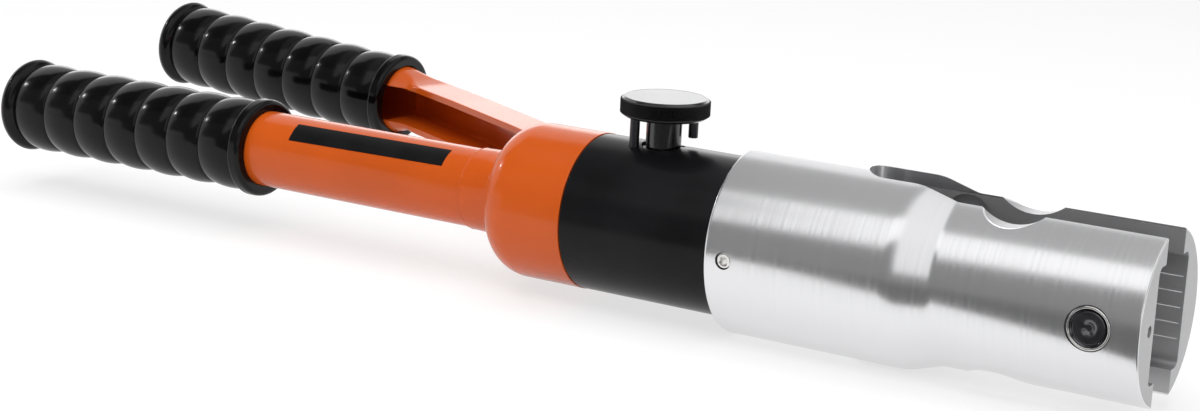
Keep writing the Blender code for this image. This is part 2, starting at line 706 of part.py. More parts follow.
def cylinder_body():
    nose = X_HEAD + SPIGOT_LENGTH
    groove = SCREW_GROOVE_HALF
    screw_x = X_HEAD + SCREW_STATION
    seal_x = X_HEAD + SEAL_STATION
    seal_half = SEAL_WIRE + GAP
    seal_floor = SPIGOT_RADIUS - 2 * SEAL_WIRE - GAP
    gland_bore = GLAND_RADIUS + GAP
    body = turned("cylinder_body", [
        (X_BORE, 0.0), (X_BORE, BORE_RADIUS), (X_GLAND, BORE_RADIUS), (X_GLAND, gland_bore), (nose, gland_bore),
        (nose, SPIGOT_RADIUS - SPIGOT_EDGE), (nose - SPIGOT_EDGE, SPIGOT_RADIUS),
        (seal_x + seal_half, SPIGOT_RADIUS), (seal_x + seal_half, seal_floor),
        (seal_x - seal_half, seal_floor), (seal_x - seal_half, SPIGOT_RADIUS),
        (screw_x + groove, SPIGOT_RADIUS), (screw_x + groove, SCREW_GROOVE_RADIUS),
        (screw_x - groove, SCREW_GROOVE_RADIUS), (screw_x - groove, SPIGOT_RADIUS),
        (X_HEAD - GAP, SPIGOT_RADIUS), (X_HEAD - GAP, BODY_RADIUS - BODY_EDGE),
        (X_HEAD - GAP - BODY_EDGE, BODY_RADIUS),
        (X_BODY + GAP, BODY_RADIUS), (X_BODY + GAP, TAIL_RADIUS), (X_TAIL, TAIL_RADIUS), (X_TAIL, 0.0),
    ], FINE)
    bonnet_hole = cylinder("bonnet_hole_cutter", point(X_KNOB, 0.0, BONNET_BOTTOM_Z - GAP),
                           point(X_KNOB, 0.0, BODY_RADIUS + OVERCUT), BONNET_RADIUS + GAP, MEDIUM)
    post = stop_place(STOP_POST_ANGLE)
    post_hole = cylinder("post_hole_cutter", post + Z_AXIS * (STOP_POST_LOW_Z - GAP),
                         post + Z_AXIS * (BODY_RADIUS + OVERCUT), STOP_PIN_RADIUS + GAP, TINY)
    pump_bore = turned("pump_bore_cutter", [
        (X_BODY + PUMP_BORE_REACH, 0.0), (X_BODY + PUMP_BORE_REACH, PLUNGER_RADIUS + RUNNING_GAP),
        (pump_seal_front() + GAP, PLUNGER_RADIUS + RUNNING_GAP), (pump_seal_front() + GAP, PUMP_SEAL_RADIUS + GAP),
        (pump_gland_front() + GAP / 2, PUMP_SEAL_RADIUS + GAP), (pump_gland_front() + GAP / 2, PUMP_GLAND_RADIUS + GAP),
        (X_TAIL - OVERCUT, PUMP_GLAND_RADIUS + GAP), (X_TAIL - OVERCUT, 0.0),
    ], MEDIUM, point(0.0, PUMP_Y), X_AXIS)
    return paint(cut(body, bonnet_hole, post_hole, pump_bore), BLACK_PAINT)


def pump_gland_front():
    return X_TAIL + PUMP_GLAND_LENGTH


def pump_seal_front():
    return pump_gland_front() + GAP + PUMP_SEAL_LENGTH


def head_seal():
    profile = wire_profile(X_HEAD + SEAL_STATION, SPIGOT_RADIUS - SEAL_WIRE, SEAL_WIRE)
    return paint(turned("head_seal", profile, MEDIUM), SEAL_RUBBER)


def ram_gland():
    """Front guide of the rod, with the groove of its seal."""
    front = X_GLAND + GLAND_LENGTH
    bore = ROD_RADIUS + RUNNING_GAP
    seal_low, seal_high = rod_seal_span()
    gland = turned("ram_gland", [
        (front, bore), (front, GLAND_RADIUS), (X_GLAND + GAP, GLAND_RADIUS), (X_GLAND + GAP, bore),
        (seal_low - GAP, bore), (seal_low - GAP, ROD_SEAL_RADIUS + GAP),
        (seal_high + GAP, ROD_SEAL_RADIUS + GAP), (seal_high + GAP, bore),
    ], MEDIUM)
    return paint(gland, BRONZE)


def rod_seal_span():
    low = X_GLAND + (GLAND_LENGTH - ROD_SEAL_WIDTH) / 2
    return low, low + ROD_SEAL_WIDTH


def rod_seal():
    low, high = rod_seal_span()
    return paint(turned("rod_seal", ring_profile(low, high, ROD_RADIUS + GAP, ROD_SEAL_RADIUS), MEDIUM), SEAL_RUBBER)


# Ram, carriage and rollers

def piston_seal_span():
    middle = X_PISTON + PISTON_LENGTH / 2
    return middle - PISTON_SEAL_WIDTH / 2, middle + PISTON_SEAL_WIDTH / 2


def ram():
    """Piston and rod in one piece, with a stub that screws into the carriage."""
    seal_low, seal_high = piston_seal_span()
    floor = PISTON_RADIUS - PISTON_SEAL_DEPTH
    piston_front = X_PISTON + PISTON_LENGTH
    stub_end = X_CARRIAGE + ROD_STUB_LENGTH
    piece = turned("ram", [
        (stub_end, 0.0), (stub_end, ROD_STUB_RADIUS), (X_CARRIAGE - GAP, ROD_STUB_RADIUS),
        (X_CARRIAGE - GAP, ROD_RADIUS - ROD_EDGE), (X_CARRIAGE - GAP - ROD_EDGE, ROD_RADIUS),
        (piston_front, ROD_RADIUS), (piston_front, PISTON_RADIUS),
        (seal_high, PISTON_RADIUS), (seal_high, floor), (seal_low, floor), (seal_low, PISTON_RADIUS),
        (X_PISTON, PISTON_RADIUS), (X_PISTON, 0.0),
    ], MEDIUM)
    return paint(piece, GROUND_STEEL)


def piston_seal():
    low, high = piston_seal_span()
    inner = PISTON_RADIUS - PISTON_SEAL_DEPTH + GAP
    return paint(turned("piston_seal", ring_profile(low + GAP, high - GAP, inner, PISTON_RADIUS), MEDIUM), SEAL_RUBBER)


def roller_carriage():
    """Block that slides in the pocket: a fork for the rollers in front, the rod's thread behind."""
    block = box("roller_carriage", (X_CARRIAGE, -CARRIAGE_HALF_WIDTH, -CARRIAGE_HALF_HEIGHT),
                (X_CARRIAGE_FRONT, CARRIAGE_HALF_WIDTH, CARRIAGE_HALF_HEIGHT), CARRIAGE_EDGE, X_AXIS)
    fork_floor = X_ROLLERS - ROLLER_RADIUS - 2 * RUNNING_GAP
    reach = CARRIAGE_HALF_HEIGHT + OVERCUT
    fork = box("fork_cutter", (fork_floor, -FORK_HALF_GAP, -reach), (X_CARRIAGE_FRONT + OVERCUT, FORK_HALF_GAP, reach))
    thread = cylinder("stub_cutter", point(X_CARRIAGE - OVERCUT), point(X_CARRIAGE + ROD_STUB_LENGTH + GAP),
                      ROD_STUB_RADIUS + GAP, MEDIUM)
    cutters = [fork, thread]
    for side in (1, -1):
        cutters.append(cylinder("roller_pin_cutter", point(X_ROLLERS, -CARRIAGE_HALF_WIDTH - OVERCUT,
                                                           side * ROLLER_SPREAD),
                                point(X_ROLLERS, CARRIAGE_HALF_WIDTH + OVERCUT, side * ROLLER_SPREAD),
                                ROLLER_PIN_RADIUS + GAP, COARSE))
    return paint(cut(block, *cutters), DARK_STEEL)


def roller(name, side):
    inner = ROLLER_PIN_RADIUS + GAP
    edge = ROLLER_EDGE
    half = ROLLER_HALF_LENGTH
    profile = [(half, inner), (half, ROLLER_RADIUS - edge), (half - edge, ROLLER_RADIUS),
               (-half + edge, ROLLER_RADIUS), (-half, ROLLER_RADIUS - edge), (-half, inner)]
    return paint(turned(name, profile, MEDIUM, point(X_ROLLERS, 0.0, side * ROLLER_SPREAD), Y_AXIS), GROUND_STEEL)


def roller_pin(name, side):
    half = CARRIAGE_HALF_WIDTH - GAP
    profile = rod_profile(-half, half, ROLLER_PIN_RADIUS, ROLLER_PIN_EDGE)
    return paint(turned(name, profile, COARSE, point(X_ROLLERS, 0.0, side * ROLLER_SPREAD), Y_AXIS), BRIGHT_STEEL)


def return_spring():
    """Coil between the piston and the gland."""
    start = X_PISTON + PISTON_LENGTH + GAP + SPRING_WIRE
    end = X_GLAND - SPRING_WIRE
    steps = SPRING_TURNS * SPRING_TURN_POINTS
    curve = bpy.data.curves.new("return_spring", "CURVE")
    curve.dimensions = "3D"
    curve.bevel_depth = SPRING_WIRE
    curve.bevel_resolution = 1
    curve.use_fill_caps = True
    spline = curve.splines.new("POLY")
    spline.points.add(steps)
    for i, knot in enumerate(spline.points):
        share = i / steps
        angle = 2 * math.pi * SPRING_TURNS * share
        knot.co = (start + (end - start) * share, SPRING_RADIUS * math.cos(angle), SPRING_RADIUS * math.sin(angle), 1.0)
    item = bpy.data.objects.new("return_spring", curve)
    PARTS.objects.link(item)
    return paint(item, BRIGHT_STEEL)


# Release valve

def stop_place(angle):
    return point(X_KNOB + STOP_CIRCLE * math.cos(angle), STOP_CIRCLE * math.sin(angle))


def valve_bonnet():
    inner = STEM_RADIUS + GAP
    profile = [(BONNET_TOP_Z, inner), (BONNET_TOP_Z, BONNET_RADIUS), (BONNET_BOTTOM_Z, BONNET_RADIUS),
               (BONNET_BOTTOM_Z, NEEDLE_RADIUS + GAP), (STEM_FOOT_Z - GAP, NEEDLE_RADIUS + GAP),
               (STEM_FOOT_Z - GAP, inner)]
    return paint(turned("valve_bonnet", profile, MEDIUM, point(X_KNOB), Z_AXIS), DARK_STEEL)


def release_knob():
    """Knurled disc, stem and valve needle. The rim's ribs are a wave in the radius."""
    count = 2 * KNOB_RIBS
    rim = []
    for i in range(count):
        radius = KNOB_RADIUS if i % 2 == 0 else KNOB_RADIUS - KNOB_RIB_DEPTH
        angle = 2 * math.pi * i / count
        rim.append((X_KNOB + radius * math.cos(angle), radius * math.sin(angle)))
    low = KNOB_BOTTOM + KNOB_EDGE
    high = KNOB_TOP - KNOB_EDGE / 2
    disc = plate("release_knob", rim, low, high)
    inner = KNOB_RADIUS - KNOB_RIB_DEPTH
    lap = KNOB_RIB_DEPTH / 4
    core = turned("knob_core", [
        (KNOB_TOP, 0.0), (KNOB_TOP, inner - KNOB_EDGE / 2), (high - lap, inner), (low + lap, inner),
        (KNOB_BOTTOM, inner - KNOB_EDGE), (KNOB_BOTTOM, STEM_RADIUS), (STEM_FOOT_Z, STEM_RADIUS),
        (STEM_FOOT_Z, NEEDLE_RADIUS), (NEEDLE_TIP_Z + NEEDLE_CONE, NEEDLE_RADIUS),
        (NEEDLE_TIP_Z, NEEDLE_TIP_RADIUS),
        (NEEDLE_TIP_Z, 0.0),
    ], FINE, point(X_KNOB), Z_AXIS)
    pin = stop_place(STOP_POST_ANGLE + math.pi)
    pin_hole = cylinder("stop_pin_cutter", pin + Z_AXIS * (KNOB_BOTTOM - OVERCUT),
                        pin + Z_AXIS * (KNOB_BOTTOM + STOP_PIN_SUNK + GAP), STOP_PIN_RADIUS + GAP, TINY)
    weld(disc, core)
    return paint(cut(disc, pin_hole), BLACK_PLASTIC)


def knob_stop_pin():
    profile = rod_profile(STOP_PIN_LOW_Z, KNOB_BOTTOM + STOP_PIN_SUNK, STOP_PIN_RADIUS, STOP_PIN_EDGE)
    return paint(turned("knob_stop_pin", profile, TINY, stop_place(STOP_POST_ANGLE + math.pi), Z_AXIS), BLACK_PAINT)


def knob_stop_post():
    profile = rod_profile(STOP_POST_LOW_Z, KNOB_BOTTOM - GAP, STOP_PIN_RADIUS, STOP_PIN_EDGE)
    return paint(turned("knob_stop_post", profile, TINY, stop_place(STOP_POST_ANGLE), Z_AXIS), BLACK_PAINT)


# Bell housing

def bell_housing():
    """Cup on the body's tail, with a flared neck behind, two lever lugs and a window for the lever."""
    shoulder_x = X_BELL + SHOULDER_LENGTH
    rim = BELL_RADIUS - BELL_SHOULDER
    angles = [math.pi / 2 * i / (SHOULDER_POINTS - 1) for i in range(SHOULDER_POINTS)]
    shoulder = [(shoulder_x - SHOULDER_LENGTH * math.sin(angle), rim + BELL_SHOULDER * math.cos(angle))
                for angle in angles]
    bore = TUBE_RADIUS + GAP
    cavity = BELL_RADIUS - BELL_WALL
    bell = turned("bell_housing", [
        (X_BELL_CAVITY, 0.0), (X_BELL_CAVITY, cavity - CAVITY_CORNER), (X_BELL_CAVITY + CAVITY_CORNER, cavity),
        (X_BODY, cavity), (X_BODY, BELL_RADIUS - BELL_EDGE), (X_BODY - BELL_EDGE, BELL_RADIUS),
        *shoulder,
        (X_BELL - NECK_FLARE, (NECK_FRONT_RADIUS + NECK_REAR_RADIUS) / 2),
        (X_NECK + NECK_LIP, NECK_REAR_RADIUS + NECK_EDGE), (X_NECK, bore + NECK_EDGE), (X_NECK, bore),
        (X_TUBE_FRONT + GAP, bore), (X_TUBE_FRONT + GAP, 0.0),
    ], FINE)
    inward = point(PIVOT.x, PIVOT.y - LUG_REACH)
    lugs = []
    for side, word in ((1, "upper"), (-1, "lower")):
        low, high = sorted((side * LUG_INNER_Z, side * LUG_OUTER_Z))
        outline = link_outline(PIVOT, LUG_RADIUS, inward, LUG_RADIUS, 12)
        lugs.append(plate(word + "_lug", outline, low, high))
    window = box("window_cutter", (X_BELL - OVERCUT, WINDOW_NEAR_Y, -LUG_INNER_Z),
                 (X_BODY - WINDOW_FRONT, WINDOW_FAR_Y, LUG_INNER_Z))
    reach = LUG_OUTER_Z + OVERCUT
    pivot_hole = cylinder("pivot_hole_cutter", PIVOT - Z_AXIS * reach, PIVOT + Z_AXIS * reach,
                          PIVOT_RADIUS + GAP, COARSE)
    spot_faces = []
    for side, word in ((1, "upper"), (-1, "lower")):
        spot_faces.append(cylinder(word + "_spot_face_cutter", PIVOT + Z_AXIS * side * (LUG_OUTER_Z - SPOT_FACE_SINK),
                                   PIVOT + Z_AXIS * side * (LUG_OUTER_Z + SPOT_FACE_DEPTH),
                                   CIRCLIP_RADIUS + SPOT_FACE_PLAY, MEDIUM))
    weld(bell, *lugs)
    return paint(cut(bell, window, pivot_hole, *spot_faces), ORANGE_PAINT)


# Fixed handle and oil tank

def fixed_handle_tube():
    profile = ring_profile(TUBE_REAR, X_TUBE_FRONT, TUBE_RADIUS - TUBE_WALL, TUBE_RADIUS)
    return paint(turned("fixed_handle_tube", profile, FINE), ORANGE_PAINT)


def tank_bladder():
    """Rubber bag that lines the tank, closed at the rear and open towards the pump."""
    outer = TUBE_RADIUS - TUBE_WALL - GAP
    inner = outer - BLADDER_WALL
    front = X_TUBE_FRONT - GAP
    rear = BLADDER_REAR
    floor = rear + BLADDER_WALL
    bend, corner = BLADDER_ROUND, BLADDER_CORNER
    return paint(turned("tank_bladder", [
        (floor, 0.0), (floor, inner - bend), (floor + 2 * corner, inner - corner), (floor + bend, inner),
        (front, inner), (front, outer), (rear + bend, outer), (rear + 2 * corner, outer - corner),
        (rear, outer - bend), (rear, 0.0),
    ], MEDIUM), SEAL_RUBBER)


def tank_plug():
    """Filler plug in the tank's rear end, under the grip."""
    flange = TUBE_REAR - GAP
    bore = TUBE_RADIUS - TUBE_WALL - GAP
    rim = TUBE_RADIUS - PLUG_FLANGE_STEP
    return paint(turned("tank_plug", [
        (TUBE_REAR + PLUG_LENGTH, 0.0), (TUBE_REAR + PLUG_LENGTH, bore), (flange, bore), (flange, rim),
        (flange - PLUG_FLANGE, rim), (flange - PLUG_FLANGE, 0.0),
    ], MEDIUM), DARK_STEEL)


# Grips

def grip_outline():
    """Outer side of a grip as (station, radius), from its front face to its butt."""
    crest = GRIP_CREST_RADIUS - GRIP_VALLEY_RADIUS
    rim, bend = GRIP_FLANGE_RADIUS, GRIP_RIM_ROUND
    first = GRIP_FLANGE_LENGTH
    last = GRIP_LENGTH - GRIP_FLANGE_LENGTH
    pitch = (last - first) / GRIP_LOBES
    points = [(GRIP_LENGTH, rim - bend), (GRIP_LENGTH - bend, rim), (GRIP_LENGTH - 3 * bend, rim),
              (GRIP_LENGTH - 4.5 * bend, rim - bend)]
    for lobe in range(GRIP_LOBES):
        for i in range(LOBE_POINTS):
            share = i / LOBE_POINTS
            station = last - pitch * (lobe + share)
            points.append((station, GRIP_VALLEY_RADIUS + crest * math.sin(math.pi * share) ** GRIP_FULLNESS))
    points.append((first, GRIP_VALLEY_RADIUS))
    points += [(4 * bend, rim - bend / 2), (2 * bend, rim), (bend / 2, rim - bend), (0.0, rim - bend - GRIP_END_ROUND)]
    return points


def grip(name, butt, front):
    bore = TUBE_RADIUS + GAP
    profile = [(GRIP_END_WALL, 0.0), (GRIP_END_WALL, bore), (GRIP_LENGTH, bore), *grip_outline(), (0.0, 0.0)]
    return paint(turned(name, profile, MEDIUM, butt, front - butt), BLACK_RUBBER)


# Pump lever: a tube pressed into an open channel, with two ears at its front

def path_frames(path):
    """Side and up vectors at each station of the lever, square to the path there."""
    frames = []
    for i, place in enumerate(path):
        before = path[max(i - 1, 0)]
        after = path[min(i + 1, len(path) - 1)]
        heading = (after - before).normalized()
        side = Z_AXIS.cross(heading).normalized()
        frames.append((place, side, heading.cross(side)))
    return frames


def lever_stations():
    rearward = (LEVER_BUTT - LEVER_GRIP_FRONT).normalized()
    places = (LEVER_GRIP_FRONT + rearward * GAP, LEVER_GRIP_FRONT + rearward * SLOT_IN_GRIP,
              LEVER_BUTT - rearward * TUBE_REAR)
    return list(CHANNEL_PATH) + [(place, TUBE_RADIUS, TUBE_RADIUS, TUBE_RADIUS) for place in places]


def lever_skin():
    stations = lever_stations()
    frames = path_frames([station[0] for station in stations])
    sections = []
    for (place, side, up), (_, half_width, half_height, corner) in zip(frames, stations):
        outline = round_section(half_width, half_height, corner * SECTION_FULLNESS, SECTION_POINTS)
        sections.append([place + side * a + up * b for a, b in outline])
    return loft("pump_lever", sections)


def lever_hollow():
    """Inside of the channel, open towards the fixed handle, and running back into the tube."""
    stations = lever_stations()[:-1]
    frames = path_frames([station[0] for station in stations])
    sections = []
    for (place, side, up), (_, half_width, half_height, _) in zip(frames, stations):
        inner = half_height - CHANNEL_WALL
        back = half_width - CHANNEL_WALL
        near = -half_width - OVERCUT
        bend = CHANNEL_INNER_CORNER
        outline = ((near, -inner), (-back, -inner), (back - bend, -inner), (back, -inner + bend),
                   (back, inner - bend), (back - bend, inner), (-back, inner), (near, inner))
        sections.append([place - side * a + up * b for a, b in outline])
    first = sections[0]
    ahead = (stations[0][0] - stations[1][0]).normalized() * OVERCUT
    sections.insert(0, [corner + ahead for corner in first])
    return loft("channel_cutter", sections)


def ear_outline():
    """Outline round three eyes: the plunger's pin, the pivot and the channel's front."""
    eyes = ((LINK, LINK_EYE_RADIUS), (PIVOT, PIVOT_EYE_RADIUS), (CHANNEL_PATH[0][0], EAR_ROOT_RADIUS))
    rim = []
    for centre, radius in eyes:
        for i in range(MEDIUM):
            angle = 2 * math.pi * i / MEDIUM
            rim.append((centre.x + radius * math.cos(angle), centre.y + radius * math.sin(angle)))
    return [rim[i] for i in convex_hull_2d(rim)]


def pump_lever():
    """The exact solver leaves holes in this lofted shape, so its Booleans use the manifold one."""
    lever = lever_skin()
    rear = LEVER_BUTT + (LEVER_GRIP_FRONT - LEVER_BUTT).normalized() * (TUBE_REAR - OVERCUT)
    bore = cylinder("lever_bore_cutter", rear, LEVER_GRIP_FRONT, TUBE_RADIUS - TUBE_WALL, MEDIUM)
    cut(lever, lever_hollow(), bore, solver="MANIFOLD")
    top = CHANNEL_HALF_HEIGHT - EAR_INSET
    floor = CHANNEL_HALF_HEIGHT - CHANNEL_WALL + EAR_INSET
    upper_ear = plate("upper_ear", ear_outline(), floor, top)
    lower_ear = plate("lower_ear", ear_outline(), -top, -floor)
    weld(lever, upper_ear, lower_ear, solver="MANIFOLD")
    reach = CHANNEL_HALF_HEIGHT + OVERCUT
    pivot = cylinder("lever_pivot_cutter", PIVOT - Z_AXIS * reach, PIVOT + Z_AXIS * reach, PIVOT_RADIUS + GAP, COARSE)
    link = cylinder("lever_link_cutter", LINK - Z_AXIS * reach, LINK + Z_AXIS * reach, LINK_RADIUS + GAP, COARSE)
    cut(lever, pivot, link, solver="MANIFOLD")
    return paint(lever, ORANGE_PAINT)


def lever_pivot_pin():
    top = LUG_OUTER_Z + CIRCLIP_THICKNESS + PIVOT_PIN_OVERHANG
    low = LUG_OUTER_Z + GAP
    high = low + CIRCLIP_THICKNESS + GAP
    neck = PIVOT_RADIUS - CIRCLIP_GROOVE
    half = [(top, 0.0), (top, PIVOT_RADIUS - PIN_EDGE), (top - PIN_EDGE, PIVOT_RADIUS), (high, PIVOT_RADIUS),
            (high, neck), (low, neck), (low, PIVOT_RADIUS)]
    profile = half + [(-station, radius) for station, radius in reversed(half)]
    return paint(turned("lever_pivot_pin", profile, COARSE, PIVOT, Z_AXIS), GROUND_STEEL)


def pivot_circlip(name, direction):
    low = LUG_OUTER_Z + GAP + GAP / 2
    inner = PIVOT_RADIUS - CIRCLIP_GROOVE + GAP
    profile = ring_profile(low, low + CIRCLIP_THICKNESS, inner, CIRCLIP_RADIUS)
    return paint(turned(name, profile, COARSE, PIVOT, direction), DARK_STEEL)


def plunger_link_pin():
    half = CHANNEL_HALF_HEIGHT
    profile = rod_profile(-half, half, LINK_RADIUS, PIN_EDGE)
    return paint(turned("plunger_link_pin", profile, COARSE, LINK, Z_AXIS), GROUND_STEEL)


def pump_plunger():
    """Plunger with a slotted eye for the lever's cross pin."""
    shank_rear = LINK.x + LINK_RADIUS + PLUNGER_SHANK_OFFSET
    shank = turned("pump_plunger", rod_profile(shank_rear, X_PLUNGER_FRONT, PLUNGER_RADIUS, PLUNGER_EDGE),
                   MEDIUM, point(0.0, PUMP_Y), X_AXIS)
    half = CHANNEL_HALF_HEIGHT - CHANNEL_WALL - PLUNGER_EYE_PLAY
    centre = point(LINK.x, PUMP_Y)
    eye = cylinder("plunger_eye", centre - Z_AXIS * half, centre + Z_AXIS * half, PLUNGER_EYE_RADIUS, MEDIUM)
    slide = LINK_SIDE_PLAY
    slot = plate("plunger_slot_cutter",
                 link_outline(centre - Y_AXIS * slide, LINK_RADIUS + GAP, centre + Y_AXIS * slide, LINK_RADIUS + GAP, 8),
                 -half - OVERCUT, half + OVERCUT)
    return paint(cut(weld(shank, eye), slot), GROUND_STEEL)


def pump_gland():
    profile = ring_profile(X_TAIL + GAP, pump_gland_front(), PLUNGER_RADIUS + RUNNING_GAP, PUMP_GLAND_RADIUS)
    return paint(turned("pump_gland", profile, MEDIUM, point(0.0, PUMP_Y), X_AXIS), BRONZE)


def pump_seal():
    profile = ring_profile(pump_gland_front() + GAP, pump_seal_front(), PLUNGER_RADIUS + GAP, PUMP_SEAL_RADIUS)
    return paint(turned("pump_seal", profile, MEDIUM, point(0.0, PUMP_Y), X_AXIS), SEAL_RUBBER)


def smooth_all():
    for item in PARTS.objects:
        if item.type == "MESH":
            finish_mesh(item.data)


def main():
    cylinder_body()
    head_seal()
    ram_gland()
    rod_seal()
    return_spring()
    valve_bonnet()
    knob_stop_post()
    pump_gland()
    pump_seal()
    bell_housing()
    fixed_handle_tube()
    tank_bladder()
    tank_plug()
    grip("fixed_grip", point(0.0), point(GRIP_LENGTH))
    lever_pivot_pin()
    pivot_circlip("upper_circlip", Z_AXIS)
    pivot_circlip("lower_circlip", -Z_AXIS)

    swivel = joint_empty("head_swivel", point(X_HEAD))
    slide = joint_empty("ram_slide", point(X_ROLLERS))
    screws = [head_set_screw(f"head_set_screw_{i + 1}", angle) for i, angle in enumerate(screw_angles())]
    carry(swivel, fork_head(), *screws, pin_detent(), slide)
    carry(slide, ram(), piston_seal(), roller_carriage(),
          roller_pin("upper_roller_pin", 1), roller_pin("lower_roller_pin", -1),
          roller("upper_roller", 1), roller("lower_roller", -1))
    pin_axis = joint_empty("jaw_pin_axis", point(X_JAW_PIN))
    carry(swivel, pin_axis)
    carry(pin_axis, jaw_pin(), jaw_pin_ring())
    knob_axis = joint_empty("knob_axis", point(X_KNOB))
    carry(knob_axis, release_knob(), knob_stop_pin())
    lever_axis = joint_empty("lever_axis", PIVOT)
    carry(lever_axis, pump_lever(), plunger_link_pin(), grip("lever_grip", LEVER_BUTT, LEVER_GRIP_FRONT))
    pump_axis = joint_empty("pump_axis", point(LINK.x, PUMP_Y))
    carry(pump_axis, pump_plunger())
    smooth_all()


main()
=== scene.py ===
"""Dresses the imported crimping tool: fine surfaces, metal, paint and rubber finishes, studio and camera."""
import json
import math

import bmesh
import bpy
import numpy as np
from bpy.props import FloatProperty, FloatVectorProperty, IntProperty, PointerProperty
from mathutils import Matrix, Vector
from mathutils.geometry import convex_hull_2d


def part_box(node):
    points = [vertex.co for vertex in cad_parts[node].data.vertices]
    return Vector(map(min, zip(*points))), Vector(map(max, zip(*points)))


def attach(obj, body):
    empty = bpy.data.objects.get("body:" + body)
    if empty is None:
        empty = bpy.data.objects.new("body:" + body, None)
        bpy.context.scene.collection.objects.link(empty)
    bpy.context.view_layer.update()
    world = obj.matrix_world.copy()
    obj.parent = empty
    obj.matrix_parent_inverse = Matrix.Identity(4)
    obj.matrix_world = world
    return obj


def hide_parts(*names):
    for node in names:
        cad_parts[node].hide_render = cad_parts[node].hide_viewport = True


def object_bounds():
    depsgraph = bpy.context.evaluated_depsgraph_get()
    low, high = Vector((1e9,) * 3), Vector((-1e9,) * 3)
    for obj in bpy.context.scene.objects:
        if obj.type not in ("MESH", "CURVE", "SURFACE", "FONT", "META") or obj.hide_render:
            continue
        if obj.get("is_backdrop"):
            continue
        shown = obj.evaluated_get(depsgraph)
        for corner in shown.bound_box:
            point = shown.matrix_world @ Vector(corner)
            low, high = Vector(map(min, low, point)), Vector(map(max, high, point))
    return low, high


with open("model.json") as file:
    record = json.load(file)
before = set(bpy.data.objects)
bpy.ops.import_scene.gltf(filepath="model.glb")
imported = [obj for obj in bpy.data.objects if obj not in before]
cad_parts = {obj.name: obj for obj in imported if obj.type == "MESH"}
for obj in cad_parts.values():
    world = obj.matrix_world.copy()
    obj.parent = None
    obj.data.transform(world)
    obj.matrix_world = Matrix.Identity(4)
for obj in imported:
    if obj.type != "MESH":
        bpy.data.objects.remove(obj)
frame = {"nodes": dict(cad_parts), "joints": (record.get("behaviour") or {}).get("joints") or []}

bl_info = {
    "name": "Hydraulic Crimping Tool Dresser",
    "version": (1, 0, 0),
    "blender": (4, 5, 0),
    "location": "View3D > Sidebar > Crimping Tool",
    "description": "Builds the visible surfaces and finishes of a hydraulic crimping tool",
    "category": "Add Mesh",
}

# Stations along the tool, read from the frame
HEAD_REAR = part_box("fork_head")[0].x
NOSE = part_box("fork_head")[1].x
BODY_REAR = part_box("bell_housing")[1].x
NECK_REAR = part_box("bell_housing")[0].x
TUBE_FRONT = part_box("fixed_handle_tube")[1].x
TUBE_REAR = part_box("fixed_handle_tube")[0].x
GRIP_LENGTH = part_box("fixed_grip")[1].x
BODY_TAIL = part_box("cylinder_body")[0].x
BODY_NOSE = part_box("cylinder_body")[1].x

# Axes and centres of the moving pieces, read from the frame's joints
JOINTS = {joint["name"]: joint for joint in frame["joints"]}
KNOB_X = JOINTS["release_knob_turn"]["pos_m"][0]
PIVOT = Vector(JOINTS["lever_hinge"]["pos_m"])
ROLLER_X = JOINTS["upper_roller_spin"]["pos_m"][0]
ROLLER_Z = JOINTS["upper_roller_spin"]["pos_m"][2]
JAW_PIN_X = 0.5 * (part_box("jaw_pin")[0].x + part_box("jaw_pin")[1].x)
LINK = 0.5 * (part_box("plunger_link_pin")[0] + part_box("plunger_link_pin")[1])

X_AXIS = Vector((1.0, 0.0, 0.0))
Y_AXIS = Vector((0.0, 1.0, 0.0))
Z_AXIS = Vector((0.0, 0.0, 1.0))

# Turn that lays a prism along the X axis, with its outline in Y and Z
ALONG_X = Matrix(((0, 0, 1), (1, 0, 0), (0, 1, 0)))

# Gaps, overcut, and the sizes at which pieces meet each other
GAP = 0.0003
RUNNING_GAP = 0.0004
OVERCUT = 0.004
NOSE_RADIUS = 0.0300
BODY_RADIUS = 0.03265
SPIGOT_RADIUS = 0.0281
ROD_RADIUS = 0.0090
TUBE_RADIUS = 0.01707
TUBE_WALL = 0.0025
CROSS_PIN_RADIUS = 0.0068
COUNTERBORE_DEPTH = 0.0014
WIRE_RADIUS = 0.0006
ROLLER_RADIUS = 0.0085
ROLLER_PIN_RADIUS = 0.0035
PIVOT_RADIUS = 0.0040
PIVOT_HOLE_RADIUS = 0.0043
LEVER_ROOT = Vector((0.2760, 0.0550, 0.0))
SET_SCREWS = ("head_set_screw_1", "head_set_screw_2", "head_set_screw_3")

# Points round the turned pieces, from the largest to the smallest
HEAD_ROUND = 256
BODY_ROUND = 192
ROUND = 160
GRIP_ROUND = 128
PIN_ROUND = 96
SMALL_ROUND = 64
SCREW_ROUND = 48
TINY_ROUND = 32


def length(name, default, description):
    """Property that holds a length in metres."""
    return FloatProperty(name=name, default=default, description=description, min=0.0, unit="LENGTH",
                         precision=5)


def colour(name, default, description):
    """Property that holds a colour."""
    return FloatVectorProperty(name=name, default=default, description=description, subtype="COLOR",
                               size=3, min=0.0, max=1.0)


